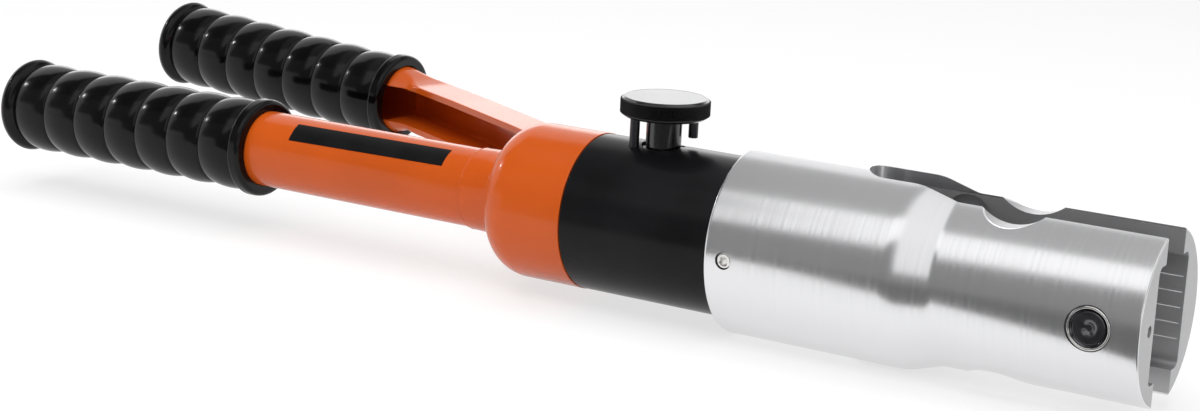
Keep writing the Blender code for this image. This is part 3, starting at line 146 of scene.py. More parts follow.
class HeadSizes(bpy.types.PropertyGroup):
    rear_radius: length("Rear radius", 0.0380, "Radius of the head's rear cylinder")
    fork_radius: length("Fork radius", 0.0337, "Radius of the two cheeks")
    rear_length: length("Rear length", 0.0770, "Length of the rear cylinder")
    cone_length: length("Cone length", 0.0150, "Length of the cone between the two radii")
    slot_half_width: length("Slot half width", 0.0103, "Half the gap between the cheeks")
    slot_start: length("Slot start", 0.0513, "Where the slot starts, from the head's rear face")
    pocket_half_width: length("Pocket half width", 0.0172, "Half the pocket's width")
    pocket_half_height: length("Pocket half height", 0.0223, "Half the pocket's height")
    pocket_start: length("Pocket start", 0.0543, "Where the pocket starts, from the head's rear face")
    notch_station: length("Notch station", 0.1139, "Where the finger notches sit, from the head's rear face")
    notch_radius: length("Notch radius", 0.0190, "Radius of the finger notches")
    notch_floor: length("Notch floor", 0.0275, "Height of the notches' floor above the axis")
    relief_station: length("Relief station", 0.0880, "Where the round relief sits, from the head's rear face")
    relief_radius: length("Relief radius", 0.0100, "Radius of the round relief")
    relief_height: length("Relief height", 0.0210, "Height of the relief's centre above the axis")
    relief_half_width: length("Relief half width", 0.0132, "Half the relief's width")
    edge: length("Edge", 0.00035, "Size of the broken edges")


class KnobSizes(bpy.types.PropertyGroup):
    radius: length("Radius", 0.0184, "Radius of the knob's disc")
    bottom: length("Bottom", 0.0443, "Height of the disc's underside above the axis")
    top: length("Top", 0.0525, "Height of the disc's top above the axis")
    stem_radius: length("Stem radius", 0.00625, "Radius of the stem")
    collar_radius: length("Collar radius", 0.0073, "Radius of the stem above the bonnet")
    knurl_depth: length("Knurl depth", 0.0007, "Depth of the knurl")
    teeth: IntProperty(name="Teeth", default=110, min=12, description="Number of teeth round the rim")


class GripSizes(bpy.types.PropertyGroup):
    flange_radius: length("Flange radius", 0.0223, "Radius of the two end flanges")
    crest_radius: length("Crest radius", 0.0209, "Radius at the top of each lobe")
    valley_radius: length("Valley radius", 0.0190, "Radius between two lobes")
    lobes: IntProperty(name="Lobes", default=7, min=1, description="Number of finger lobes")


class LeverSizes(bpy.types.PropertyGroup):
    half_height: length("Half height", 0.0120, "Half the height of the open channel")
    wall: length("Wall", 0.0030, "Wall of the channel")
    corner: length("Corner", 0.0030, "Round on the channel's long edges")
    tube_radius: length("Tube radius", TUBE_RADIUS, "Radius of the tube under the grip")


class Finishes(bpy.types.PropertyGroup):
    orange: colour("Orange", (0.535, 0.083, 0.006), "Powder coat of handle, bell and lever")
    black: colour("Black", (0.0062, 0.0060, 0.0068), "Paint of the cylinder body")
    rubber: colour("Rubber", (0.0022, 0.0022, 0.0025), "Moulded grips")
    steel: colour("Steel", (0.80, 0.80, 0.812), "Turned steel of the head")
    floor: colour("Floor", (0.95, 0.95, 0.95), "Floor under the tool")


# Meshes from arrays

def grid_quads(rows, columns, wrap):
    """Corner numbers of each quad of a grid whose points run row by row.

    With wrap, the last column meets the first.
    """
    row, column = np.meshgrid(np.arange(rows - 1), np.arange(columns if wrap else columns - 1), indexing="ij")
    following = (column + 1) % columns
    corners = (row * columns + column, (row + 1) * columns + column,
               (row + 1) * columns + following, row * columns + following)
    return np.stack([corner.ravel() for corner in corners], axis=1)


def new_mesh(name, points, faces, close=True):
    """Mesh of the points and faces, merged and turned outwards unless it is an open sheet."""
    mesh = bpy.data.meshes.new(name)
    mesh.from_pydata(points.reshape(-1, 3), [], faces)
    if close:
        tidy_mesh(mesh)
    return mesh


def tidy_mesh(mesh):
    """Merges doubled points, drops faces without area and turns all faces outwards.

    They face outwards when the signed volume is above 0.
    """
    shape = bmesh.new()
    shape.from_mesh(mesh)
    bmesh.ops.remove_doubles(shape, verts=shape.verts, dist=1e-7)
    bmesh.ops.dissolve_degenerate(shape, edges=shape.edges, dist=1e-8)
    bmesh.ops.recalc_face_normals(shape, faces=shape.faces)
    if shape.calc_volume(signed=True) < 0.0:
        bmesh.ops.reverse_faces(shape, faces=shape.faces)
    shape.to_mesh(mesh)
    shape.free()


def place_object(name, mesh):
    """New object of the mesh, in the scene."""
    item = bpy.data.objects.new(name, mesh)
    bpy.context.scene.collection.objects.link(item)
    return item


def shade(item, degrees=28.0):
    """Smooth shading up to the angle, weighted by area, so that flat faces stay flat beside rounded edges."""
    item.data.shade_smooth()
    item.data.set_sharp_from_angle(angle=math.radians(degrees))
    step = item.modifiers.new("Weighted normals", "WEIGHTED_NORMAL")
    step.mode = "FACE_AREA"
    step.weight = 90
    step.keep_sharp = True
    return bake_modifiers(item)


def frame_to(start, direction):
    """Rotation and start of an axis frame whose third axis is the given direction, as arrays."""
    turn = Z_AXIS.rotation_difference(direction.normalized()).to_matrix()
    return np.array(turn), np.array(start)


def rounded(profile):
    """A (station, radius, round) outline with each corner cut back into an arc of its round, as an array.

    Each arc is the quadratic blend of the corner and the two points where the round starts and ends.
    """
    points = np.array([corner[:2] for corner in profile])
    made = []
    for i, corner in enumerate(profile):
        fillet = corner[2] if len(corner) > 2 else 0.0
        if fillet == 0.0 or i in (0, len(profile) - 1):
            made.append(points[i:i + 1])
            continue
        back = points[i - 1] - points[i]
        ahead = points[i + 1] - points[i]
        reach = min(fillet, 0.49 * np.linalg.norm(back), 0.49 * np.linalg.norm(ahead))
        start = points[i] + reach * back / np.linalg.norm(back)
        end = points[i] + reach * ahead / np.linalg.norm(ahead)
        share = np.linspace(0.0, 1.0, 9)[:, None]
        made.append((1 - share) ** 2 * start + 2 * share * (1 - share) * points[i] + share ** 2 * end)
    return np.concatenate(made)


def revolve(name, outline, start=Vector(), direction=X_AXIS, steps=ROUND):
    """Surface of revolution: station s and radius r go to s along the axis and r times cosine and sine."""
    station, radius = outline[:, 0:1], outline[:, 1:2]
    angle = np.linspace(0.0, 2 * math.pi, steps, endpoint=False)[None, :]
    local = np.stack([radius * np.cos(angle), radius * np.sin(angle), station + 0.0 * angle], axis=2)
    turn, origin = frame_to(start, direction)
    points = local @ turn.T + origin
    mesh = new_mesh(name, points, grid_quads(len(outline), steps, True))
    return place_object(name, mesh)


def ring_outline(low, high, inner, outer, edge):
    """Section of a flat ring, from the middle of its bore round to the same point."""
    middle = 0.5 * (low + high)
    return rounded(((middle, inner), (high, inner, edge), (high, outer, edge),
                    (low, outer, edge), (low, inner, edge), (middle, inner)))


def rod_outline(low, high, radius, edge):
    """Section of a plain rod from one station to the other, with rounded rims."""
    return rounded(((high, 0.0), (high, radius, edge), (low, radius, edge), (low, 0.0)))


def wire_outline(station, centre, wire, sides=16):
    """Circle of radius wire round (station, centre)."""
    angle = np.linspace(0.0, 2 * math.pi, sides + 1)
    return np.stack([station + wire * np.sin(angle), centre + wire * np.cos(angle)], axis=1)


def prism(name, outline, low, high, turn=None):
    """Straight prism over a flat outline: the outline's points at height low, then at height high, capped."""
    count = len(outline)
    heights = np.repeat([low, high], count)
    points = np.column_stack([np.tile(outline, (2, 1)), heights])
    if turn is not None:
        points = points @ np.array(turn).T
    sides = grid_quads(2, count, True)
    faces = [tuple(quad) for quad in sides.tolist()]
    faces.append(tuple(range(count)))
    faces.append(tuple(range(2 * count - 1, count - 1, -1)))
    return place_object(name, new_mesh(name, points, faces))


def round_box_outline(half_width, half_height, corner, steps=8):
    """Rectangle with quarter circles at its corners, as an array of points round it."""
    quarter = np.linspace(0.0, math.pi / 2, steps)
    made = []
    for turn, (side, up) in enumerate(((1, 1), (-1, 1), (-1, -1), (1, -1))):
        angle = quarter + turn * math.pi / 2
        made.append(np.stack([side * (half_width - corner) + corner * np.cos(angle),
                              up * (half_height - corner) + corner * np.sin(angle)], axis=1))
    return np.concatenate(made)


def hull_outline(eyes, steps=64):
    """Outline round several circles (x, y, radius): the convex hull of their rims."""
    angle = np.linspace(0.0, 2 * math.pi, steps, endpoint=False)
    rims = [np.stack([x + radius * np.cos(angle), y + radius * np.sin(angle)], axis=1)
            for x, y, radius in eyes]
    points = np.concatenate(rims)
    return points[convex_hull_2d([Vector(point) for point in points])]


def solid_box(name, low, high):
    """Box between two corners: a rectangle carried straight up."""
    outline = np.array(((low[0], low[1]), (high[0], low[1]), (high[0], high[1]), (low[0], high[1])))
    return prism(name, outline, low[2], high[2])


def rod(name, start, end, radius, steps=SMALL_ROUND):
    """Cylinder from start to end: a rectangle turned round the line between them."""
    span = (end - start).length
    outline = np.array(((span, 0.0), (span, radius), (0.0, radius), (0.0, 0.0)))
    return revolve(name, outline, start, end - start, steps)


def combine(item, tools, operation):
    """Joins or cuts with each tool in turn, keeps the result as a plain mesh and removes the tools."""
    for tool in tools:
        step = item.modifiers.new(operation.title(), "BOOLEAN")
        step.operation = operation
        step.object = tool
        step.solver = "MANIFOLD"
    bake_modifiers(item)
    for tool in tools:
        bpy.data.objects.remove(tool, do_unlink=True)
    return item


def bake_modifiers(item):
    """Puts the modifiers' result into the object's own mesh."""
    bpy.context.view_layer.update()
    graph = bpy.context.evaluated_depsgraph_get()
    mesh = bpy.data.meshes.new_from_object(item.evaluated_get(graph))
    item.modifiers.clear()
    item.data = mesh
    return item


def break_edges(item, width, degrees=32.0, segments=2):
    """Bevels every edge sharper than the angle."""
    step = item.modifiers.new("Broken edges", "BEVEL")
    step.width = width
    step.segments = segments
    step.limit_method = "ANGLE"
    step.angle_limit = math.radians(degrees)
    step.miter_outer = "MITER_ARC"
    step.harden_normals = False
    step.use_clamp_overlap = True
    return bake_modifiers(item)


def finish_piece(item, body, finish, node, degrees=28.0, instead=True):
    """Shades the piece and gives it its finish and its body.

    With instead, the piece is shown in place of the CAD node, otherwise beside it.
    """
    shade(item, degrees)
    item.data.materials.clear()
    item.data.materials.append(finish_named(finish))
    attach(item, body)
    if instead:
        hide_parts(node)


# Shared effects, as node groups

class Tree:
    """Short ways to add and link the nodes of a material, a world or a group."""

    def __init__(self, tree):
        self.nodes, self.links = tree.nodes, tree.links

    def feed(self, socket, value):
        """Gives the socket a plain value, or links it to the output that feeds it."""
        if isinstance(value, bpy.types.NodeSocket):
            self.links.new(value, socket)
        else:
            socket.default_value = value

    def node(self, kind, inputs=None, **settings):
        """New node with its settings, and its inputs by name or number."""
        made = self.nodes.new("ShaderNode" + kind)
        for name, value in settings.items():
            setattr(made, name, value)
        for name, value in (inputs or {}).items():
            self.feed(made.inputs[name], value)
        return made

    def noise(self, vector, scale, detail):
        """Value of a noise texture at the vector."""
        return self.node("TexNoise", {"Vector": vector, "Scale": scale, "Detail": detail}).outputs["Fac"]

    def spread(self, value, low, high):
        """The middle part of a noise, 0.3 to 0.7, stretched to run from low to high."""
        limits = {"From Min": 0.3, "From Max": 0.7, "To Min": low, "To Max": high}
        return self.node("MapRange", {"Value": value, **limits}).outputs["Result"]


class Group(Tree):
    """A node group being built: a vector and named numbers go in, and numbers that change come out."""

    def __init__(self, name, values, outputs):
        self.group = bpy.data.node_groups.new(name, "ShaderNodeTree")
        super().__init__(self.group)
        sockets = self.group.interface
        sockets.new_socket("Vector", in_out="INPUT", socket_type="NodeSocketVector")
        for value, default in values.items():
            sockets.new_socket(value, in_out="INPUT", socket_type="NodeSocketFloat").default_value = default
        for output in outputs:
            sockets.new_socket(output, in_out="OUTPUT", socket_type="NodeSocketFloat")
        self.entry = self.nodes.new("NodeGroupInput").outputs
        self.exit = self.nodes.new("NodeGroupOutput").inputs


def lathe_marks_group():
    """Fine lines round the X axis: noise that changes fast along X and slowly across it, at two pitches."""
    group = Group("lathe_marks", {"Pitch": 2600.0, "Drift": 16.0}, ("Marks", "Bands"))
    pitch, drift = group.entry["Pitch"], group.entry["Drift"]
    stretch = group.node("CombineXYZ", {"X": pitch, "Y": drift, "Z": drift}).outputs["Vector"]
    stretched = group.node("VectorMath", {0: group.entry["Vector"], 1: stretch}, operation="MULTIPLY")
    group.feed(group.exit["Marks"], group.noise(stretched.outputs["Vector"], 1.0, 3.0))
    group.feed(group.exit["Bands"], group.noise(stretched.outputs["Vector"], 0.55, 2.0))
    return group.group


def mottle_group():
    """Slow change between two values over the surface, for uneven gloss and colour."""
    group = Group("mottle", {"Scale": 40.0, "Low": 0.2, "High": 0.3}, ("Value", "Mask"))
    mask = group.noise(group.entry["Vector"], group.entry["Scale"], 4.0)
    group.feed(group.exit["Value"], group.spread(mask, group.entry["Low"], group.entry["High"]))
    group.feed(group.exit["Mask"], mask)
    return group.group


def grain_group():
    """Fine even grain or orange peel, as a height."""
    group = Group("fine_grain", {"Scale": 900.0}, ("Height",))
    group.feed(group.exit["Height"], group.noise(group.entry["Vector"], group.entry["Scale"], 2.0))
    return group.group


def inside_group():
    """Mask of the head's mill-cut insides: 1 where the distance from the X axis is under the given radius; it
    gives them their rougher finish and their painted shade.
    """
    group = Group("inside_mask", {"Radius": 0.0331}, ("Mask",))
    flat = group.node("VectorMath", {0: group.entry["Vector"], 1: (0.0, 1.0, 1.0)}, operation="MULTIPLY")
    distance = group.node("VectorMath", {0: flat.outputs["Vector"]}, operation="LENGTH")
    under = group.node("Math", {0: distance.outputs["Value"], 1: group.entry["Radius"]},
                       operation="LESS_THAN")
    group.feed(group.exit["Mask"], under.outputs["Value"])
    return group.group


EFFECTS = {"lathe_marks": lathe_marks_group, "mottle": mottle_group, "fine_grain": grain_group,
           "inside_mask": inside_group}
GROUPS = {}


def effect(name):
    """The node group of that name, made when it is first asked for."""
    if name not in GROUPS:
        GROUPS[name] = EFFECTS[name]()
    return GROUPS[name]


class Finish(Tree):
    """A material being built: its Principled shader, its object coordinates and short ways to add effects."""

    def __init__(self, name, **values):
        self.material = bpy.data.materials.new(name)
        self.material.use_nodes = True
        super().__init__(self.material.node_tree)
        self.shader = self.nodes["Principled BSDF"]
        self.place = self.node("TexCoord").outputs["Object"]
        for socket, value in values.items():
            self.give(socket.replace("_", " "), value)

    def give(self, socket, value):
        """Gives a socket of the shader a plain value, or the output that feeds it."""
        self.feed(self.shader.inputs[socket], value)

    def add(self, effect_name, **values):
        """Outputs of a shared effect, placed here with its own values."""
        inputs = {"Vector": self.place, **values}
        return self.node("Group", inputs, node_tree=effect(effect_name)).outputs

    def colour(self, mask, first, second, low=0.35, high=0.65):
        """Base colour that goes from first to second as the mask goes from low to high."""
        ramp = self.node("ValToRGB", {"Fac": mask})
        for element, position, rgb in zip(ramp.color_ramp.elements, (low, high), (first, second)):
            element.position = position
            element.color = (*rgb, 1.0)
        self.give("Base Color", ramp.outputs["Color"])

    def switch(self, mask, outside, inside):
        """Value that is the first where the mask is 0 and the second where it is 1."""
        return self.node("Mix", {"Factor": mask, "A": outside, "B": inside}).outputs["Result"]

    def darken(self, mask, share):
        """Multiplies the base colour by the share where the mask is 1."""
        before = self.shader.inputs["Base Color"].links[0].from_socket
        inputs = {"Factor": mask, "A": before, "B": (share, share, share, 1.0)}
        self.give("Base Color",
                  self.node("Mix", inputs, data_type="RGBA", blend_type="MULTIPLY").outputs["Result"])

    def bump(self, height, strength, distance):
        """Normal tilted by the slope of the height."""
        inputs = {"Height": height, "Strength": strength, "Distance": distance}
        self.give("Normal", self.node("Bump", inputs).outputs["Normal"])


def scaled(rgb, factor):
    """The colour times the factor, at most 1."""
    return tuple(min(1.0, channel * factor) for channel in rgb)


def mottled(name, rgb, gloss, patches, tones, grain, **values):
    """Finish with patches of uneven colour and gloss under a fine grain.

    gloss holds the lowest and highest roughness, patches the scale of the patches, tones the darkest and
    lightest share of the colour, and grain the grain's scale, strength and distance.
    """
    finish = Finish(name, **values)
    uneven = finish.add("mottle", Scale=patches, Low=gloss[0], High=gloss[1])
    finish.colour(uneven["Mask"], scaled(rgb, tones[0]), scaled(rgb, tones[1]))
    finish.give("Roughness", uneven["Value"])
    finish.bump(finish.add("fine_grain", Scale=grain[0])["Height"], *grain[1:])
    return finish.material


def powder_coat(name, rgb):
    """Glossy powder coat: slight orange peel, uneven gloss and a clear top layer."""
    return mottled(name, rgb, (0.16, 0.24), 22.0, (0.95, 1.05), (520.0, 0.05, 0.0004),
                   Specular_IOR_Level=0.26, Coat_Weight=0.12, Coat_Roughness=0.05)


def satin_paint(name, rgb, gloss, shine):
    """Satin black paint with a fine grain and faint rub marks."""
    return mottled(name, rgb, gloss, 30.0, (0.8, 1.3), (3500.0, 0.12, 0.0001), Specular_IOR_Level=shine)


def moulded_rubber(name, rgb, gloss, shine=0.22):
    """Moulded rubber: near black, glossy where it was polished in the mould, with a slight waviness."""
    return mottled(name, rgb, gloss, 55.0, (0.75, 1.4), (160.0, 0.05, 0.0008), Specular_IOR_Level=shine)


def plain_steel(name, rgb, gloss, metallic=1.0):
    """Ground, plated or blackened steel of the small pieces: uneven gloss and a very fine grain."""
    return mottled(name, rgb, gloss, 180.0, (0.85, 1.12), (4000.0, 0.08, 0.00006), Metallic=metallic)


def turned_steel(name, rgb, gloss, mark=0.006, pitch=1500.0, milled_and_shade=None):
    """Turned metal: fine lines round the tool's axis in colour, gloss and height.

    mark is the strength of their relief, and pitch how often they come. The last argument, where it is given,
    holds the roughness and the metallic value of the mill-cut insides, and the share of their colour that is
    kept, which paints shade into the head's slot, pocket and notches.
    """
    finish = Finish(name, Metallic=1.0)
    marks = finish.add("lathe_marks", Pitch=pitch, Drift=9.0)
    finish.colour(marks["Marks"], scaled(rgb, 0.992), scaled(rgb, 1.004), 0.3, 0.7)
    finish.bump(marks["Marks"], mark, 0.00012)
    roughness = finish.spread(marks["Bands"], *gloss)
    if milled_and_shade is not None:
        mask = finish.add("inside_mask", Radius=0.0331)["Mask"]
        roughness = finish.switch(mask, roughness, milled_and_shade[0])
        finish.give("Metallic", finish.switch(mask, 1.0, milled_and_shade[1]))
        # Painted shade: the base colour is darkened in the head's slot, pocket and notches, where the mask is
        # 1.
        finish.darken(mask, milled_and_shade[2])
    finish.give("Roughness", roughness)
    return finish.material


MATERIALS = {}


def finish_named(name):
    """The material of that name, made when it is first asked for."""
    tints = bpy.context.scene.crimp_finishes
    makers = {
        "orange_powder_coat": (powder_coat, tints.orange),
        "satin_black_paint": (satin_paint, tints.black, (0.20, 0.26), 0.14),
        "glossy_grip_rubber": (moulded_rubber, tints.rubber, (0.13, 0.21)),
        "seal_rubber": (moulded_rubber, (0.02, 0.02, 0.02), (0.5, 0.65)),
        "black_strip": (moulded_rubber, (0.0036, 0.0036, 0.0040), (0.42, 0.5), 0.12),
        # The head steel's last value darkens the colour of its slot, pocket and notches: painted shade.
        "turned_head_steel": (turned_steel, tints.steel, (0.20, 0.27), 0.006, 1500.0, (0.42, 0.80, 0.60)),
        "knob_black": (satin_paint, (0.006, 0.006, 0.0065), (0.13, 0.20), 0.8),
        "black_steel": (plain_steel, (0.06, 0.06, 0.065), (0.28, 0.42)),
        "pin_steel": (plain_steel, (0.13, 0.13, 0.14), (0.16, 0.3)),
        "ridge_steel": (plain_steel, (0.92, 0.92, 0.93), (0.40, 0.50), 0.3),
        "bright_steel": (plain_steel, (0.82, 0.81, 0.79), (0.10, 0.2)),
        "ground_steel": (turned_steel, (0.66, 0.66, 0.68), (0.16, 0.26), 0.02, 4000.0),
        "bronze": (turned_steel, (0.58, 0.40, 0.18), (0.25, 0.38), 0.03, 3000.0),
    }
    if name not in MATERIALS:
        maker, rgb, *values = makers[name]
        MATERIALS[name] = maker(name, tuple(rgb), *values)
    return MATERIALS[name]


# Fork head

def head_outline(sizes):
    """The head's outside: the fork's cylinder, the cone and the rear cylinder, with rounded corners."""
    cone_start = HEAD_REAR + sizes.rear_length
    cone_end = cone_start + sizes.cone_length
    return rounded((
        (NOSE, 0.0), (NOSE, sizes.fork_radius, 0.0006), (cone_end, sizes.fork_radius, 0.0014),
        (cone_start, sizes.rear_radius, 0.0036), (HEAD_REAR, sizes.rear_radius, 0.0012), (HEAD_REAR, 0.0),
    ))


def head_cutters(sizes):
    """Everything that the head's solid loses: socket, rod way, pocket, slot, notches, reliefs and holes."""
    socket_floor = BODY_NOSE + GAP
    pocket_x = HEAD_REAR + sizes.pocket_start
    pocket = prism("pocket", round_box_outline(sizes.pocket_half_width, sizes.pocket_half_height, 0.003),
                   pocket_x, NOSE + OVERCUT, ALONG_X)
    slot_x = HEAD_REAR + sizes.slot_start + sizes.slot_half_width
    reach = sizes.rear_radius + OVERCUT
    slot_ends = hull_outline([(x, 0.0, sizes.slot_half_width) for x in (slot_x, NOSE + 0.03)])
    slot = prism("slot", slot_ends, -reach, reach)
    socket = rod("socket", Vector((HEAD_REAR - OVERCUT, 0, 0)), Vector((socket_floor, 0, 0)),
                 NOSE_RADIUS + RUNNING_GAP, ROUND)
    rod_way = rod("rod_way", Vector((socket_floor - OVERCUT, 0, 0)), Vector((pocket_x + OVERCUT, 0, 0)),
                  ROD_RADIUS + RUNNING_GAP)
    cutters = [socket, rod_way, pocket, slot]
    for side in (1, -1):
        height = side * (sizes.notch_floor + sizes.notch_radius)
        notch = Vector((HEAD_REAR + sizes.notch_station, 0.0, height))
        across = Y_AXIS * reach
        cutters.append(rod("notch", notch - across, notch + across, sizes.notch_radius, ROUND))
        relief = Vector((HEAD_REAR + sizes.relief_station, 0.0, side * sizes.relief_height))
        half = Y_AXIS * sizes.relief_half_width
        cutters.append(rod("relief", relief - half, relief + half, sizes.relief_radius))
    return cutters + head_holes(sizes)


def cheek_face(sizes):
    """Distance from the axis at which the cross pin's hole leaves the round cheek."""
    return math.sqrt(sizes.fork_radius ** 2 - CROSS_PIN_RADIUS ** 2)


def head_holes(sizes):
    """Holes of the jaw pin, the detent and the set screws."""
    pin_radius, counterbore = CROSS_PIN_RADIUS + GAP, 0.0087
    reach = sizes.fork_radius + OVERCUT
    seat = cheek_face(sizes) - COUNTERBORE_DEPTH
    outline = np.array(((reach, 0.0), (reach, counterbore), (seat, counterbore), (seat, pin_radius),
                        (-reach, pin_radius), (-reach, 0.0)))
    pin_hole = revolve("pin_hole", outline, Vector((JAW_PIN_X, 0, 0)), -Y_AXIS, SMALL_ROUND)
    detent = Vector((0.0, -0.0222, 0.0))
    detent_hole = rod("detent_hole", detent + X_AXIS * JAW_PIN_X, detent + X_AXIS * (NOSE + OVERCUT),
                      0.0022, TINY_ROUND)
    holes = [pin_hole, detent_hole]
    for node in SET_SCREWS:
        base, outward = screw_axis(node)
        holes.append(rod("screw_hole", base + outward * 0.026, base + outward * 0.042, 0.0034, TINY_ROUND))
    return holes


def screw_axis(node):
    """Point of the X axis under a set screw, and the screw's direction outwards."""
    low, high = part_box(node)
    middle = 0.5 * (low + high)
    base = Vector((middle.x, 0.0, 0.0))
    return base, (middle - base).normalized()


def pocket_ridges(sizes):
    """Thin ridges that the cutter left on both side walls of the pocket, one pass apart."""
    pitch, half, short_of_nose = 0.0060, 0.00016, 0.0012
    start = HEAD_REAR + sizes.pocket_start + 0.040
    made = []
    for side in (1, -1):
        wall = side * sizes.pocket_half_width
        crest = wall - side * half
        for step in range(-2, 3):
            height = step * pitch
            low = (start, min(wall, crest), height - half)
            high = (NOSE - short_of_nose, max(wall, crest), height + half)
            made.append(solid_box("ridge", low, high))
    return made


class CRIMP_OT_head(bpy.types.Operator):
    """Build the slotted fork head with its pocket, notches and holes"""
    bl_idname = "crimp.head"
    bl_label = "Fork Head"

    def execute(self, context):
        sizes = context.scene.crimp_head
        head = revolve("slotted_fork_head", head_outline(sizes), steps=HEAD_ROUND)
        combine(head, head_cutters(sizes), "DIFFERENCE")
        break_edges(head, sizes.edge)
        finish_piece(head, "head", "turned_head_steel", "fork_head")
        ridges = combine_plain("pocket_wall_ridges", pocket_ridges(sizes))
        finish_piece(ridges, "head", "ridge_steel", "fork_head", instead=False)
        return {"FINISHED"}


def combine_plain(name, items):
    """One mesh object from several that don't touch."""
    shape = bmesh.new()
    for item in items:
        shape.from_mesh(item.data)
    mesh = bpy.data.meshes.new(name)
    shape.to_mesh(mesh)
    shape.free()
    for item in items:
        bpy.data.objects.remove(item, do_unlink=True)
    return place_object(name, mesh)


# Jaw pin, ring, detent and set screws

class CRIMP_OT_head_fittings(bpy.types.Operator):
    """Build the jaw pin with its ring, the detent and the three set screws"""
    bl_idname = "crimp.head_fittings"
    bl_label = "Head Fittings"

    def execute(self, context):
        sizes = context.scene.crimp_head
        self.jaw_pin(cheek_face(sizes))
        self.detent()
        for node in SET_SCREWS:
            self.set_screw(node)
        return {"FINISHED"}

    def jaw_pin(self, cheek):
        """The pin with its dished end, the groove of its wire ring and the detent's groove, then the ring."""
        radius, face, wire = CROSS_PIN_RADIUS, cheek - 0.0003, WIRE_RADIUS
        ring_station = cheek - COUNTERBORE_DEPTH + GAP + wire
        start = Vector((JAW_PIN_X, 0.0, 0.0))
        pin = revolve("cross_pin", rounded((
            (face - 0.0012, 0.0), (face - 0.0012, 0.0013, 0.0004), (face, 0.0030, 0.0012),
            (face, 0.0060, 0.0003), (face - 0.0006, radius, 0.0003), (ring_station + wire, radius),
            (ring_station, 0.0063), (ring_station - wire, radius), (0.0240, radius),
            (0.0222, 0.0062, 0.0008), (0.0204, radius), (-face, radius, 0.0009), (-face, 0.0),
        )), start, -Y_AXIS, PIN_ROUND)
        finish_piece(pin, "jaw_pin_body", "pin_steel", "jaw_pin")
        ring = revolve("cross_pin_wire_ring", wire_outline(ring_station, radius + GAP + wire, wire),
                       start, -Y_AXIS, PIN_ROUND)
        finish_piece(ring, "jaw_pin_body", "bright_steel", "jaw_pin_ring")

    def detent(self):
        """Turned plunger of the detent, with a tapered tip and a hole in its front end."""
        low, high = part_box("pin_detent")
        start = Vector((0.0, 0.5 * (low.y + high.y), 0.0))
        radius, dish, depth, tip = 0.0018, 0.0009, 0.0012, 0.0006
        outline = rounded(((high.x - depth, 0.0), (high.x - depth, dish, 0.0002), (high.x, dish, 0.0002),
                           (high.x, radius, 0.0003), (low.x + depth, radius, 0.0006), (low.x, tip, 0.0003),
                           (low.x, 0.0)))
        piece = revolve("pin_detent_plunger", outline, start, X_AXIS, TINY_ROUND)
        finish_piece(piece, "head", "bright_steel", "pin_detent")

    def set_screw(self, node):
        """Set screw with a thinner dog point and a hexagon socket."""
        base, outward = screw_axis(node)
        top, shoulder, tip = 0.0372, 0.0304, 0.0274
        radius, point_radius, socket_radius, depth = 0.0031, 0.0025, 0.0019, 0.0032
        outline = rounded(((top, 0.0), (top, radius, 0.0006), (shoulder, radius, 0.0002),
                           (shoulder, point_radius), (tip, point_radius, 0.0004), (tip, 0.0)))
        screw = revolve(node + "_dog_point", outline, base, outward, SCREW_ROUND)
        turn = Z_AXIS.rotation_difference(outward).to_matrix()
        angle = np.linspace(0.0, 2 * math.pi, 6, endpoint=False) + 0.3
        hexagon = socket_radius * np.stack([np.cos(angle), np.sin(angle)], axis=1)
        socket = prism("hex_socket", hexagon, top - depth, top + 0.001)
        socket.data.transform(Matrix.Translation(base) @ turn.to_4x4())
        combine(screw, [socket], "DIFFERENCE")
        break_edges(screw, 0.00012)
        finish_piece(screw, "head", "bright_steel", node)


# Roller carriage

class CRIMP_OT_ram_carriage(bpy.types.Operator):
    """Build the roller carriage, its two rollers and their pins"""
    bl_idname = "crimp.ram_carriage"
    bl_label = "Roller Carriage"

    def execute(self, context):
        low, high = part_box("roller_carriage")
        outline = round_box_outline(high.y, high.z, 0.002)
        block = prism("ram_roller_carriage", outline, low.x, high.x, ALONG_X)
        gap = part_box("upper_roller")[1].y + RUNNING_GAP
        reach = high.z + OVERCUT
        floor = ROLLER_X - ROLLER_RADIUS - 2 * RUNNING_GAP
        stub_start, stub_end = Vector((low.x - OVERCUT, 0, 0)), Vector((low.x + 0.0083, 0, 0))
        cutters = [solid_box("fork_gap", (floor, -gap, -reach), (high.x + OVERCUT, gap, reach)),
                   rod("stub_hole", stub_start, stub_end, 0.0063)]
        middles = {"upper": Vector((ROLLER_X, 0.0, ROLLER_Z)), "lower": Vector((ROLLER_X, 0.0, -ROLLER_Z))}
        across = Y_AXIS * 0.03
        for middle in middles.values():
            cutters.append(rod("pin_hole", middle - across, middle + across, ROLLER_PIN_RADIUS + GAP))
        combine(block, cutters, "DIFFERENCE")
        break_edges(block, 0.0003)
        finish_piece(block, "ram_assembly", "black_steel", "roller_carriage")
        for word, middle in middles.items():
            self.roller(word, middle)
        return {"FINISHED"}

    def roller(self, word, middle):
        """A roller, which is a flat ring, and the pin through it."""
        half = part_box(word + "_roller")[1].y
        outline = ring_outline(-half, half, ROLLER_PIN_RADIUS + GAP, ROLLER_RADIUS, 0.0006)
        piece = revolve(word + "_jaw_roller", outline, middle, Y_AXIS, PIN_ROUND)
        finish_piece(piece, word + "_roller_body", "ground_steel", word + "_roller")
        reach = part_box(word + "_roller_pin")[1].y
        pin_outline = rod_outline(-reach, reach, ROLLER_PIN_RADIUS, 0.0005)
        pin = revolve(word + "_jaw_roller_pin", pin_outline, middle, Y_AXIS, SCREW_ROUND)
        finish_piece(pin, "ram_assembly", "bright_steel", word + "_roller_pin")


# Cylinder body and bell

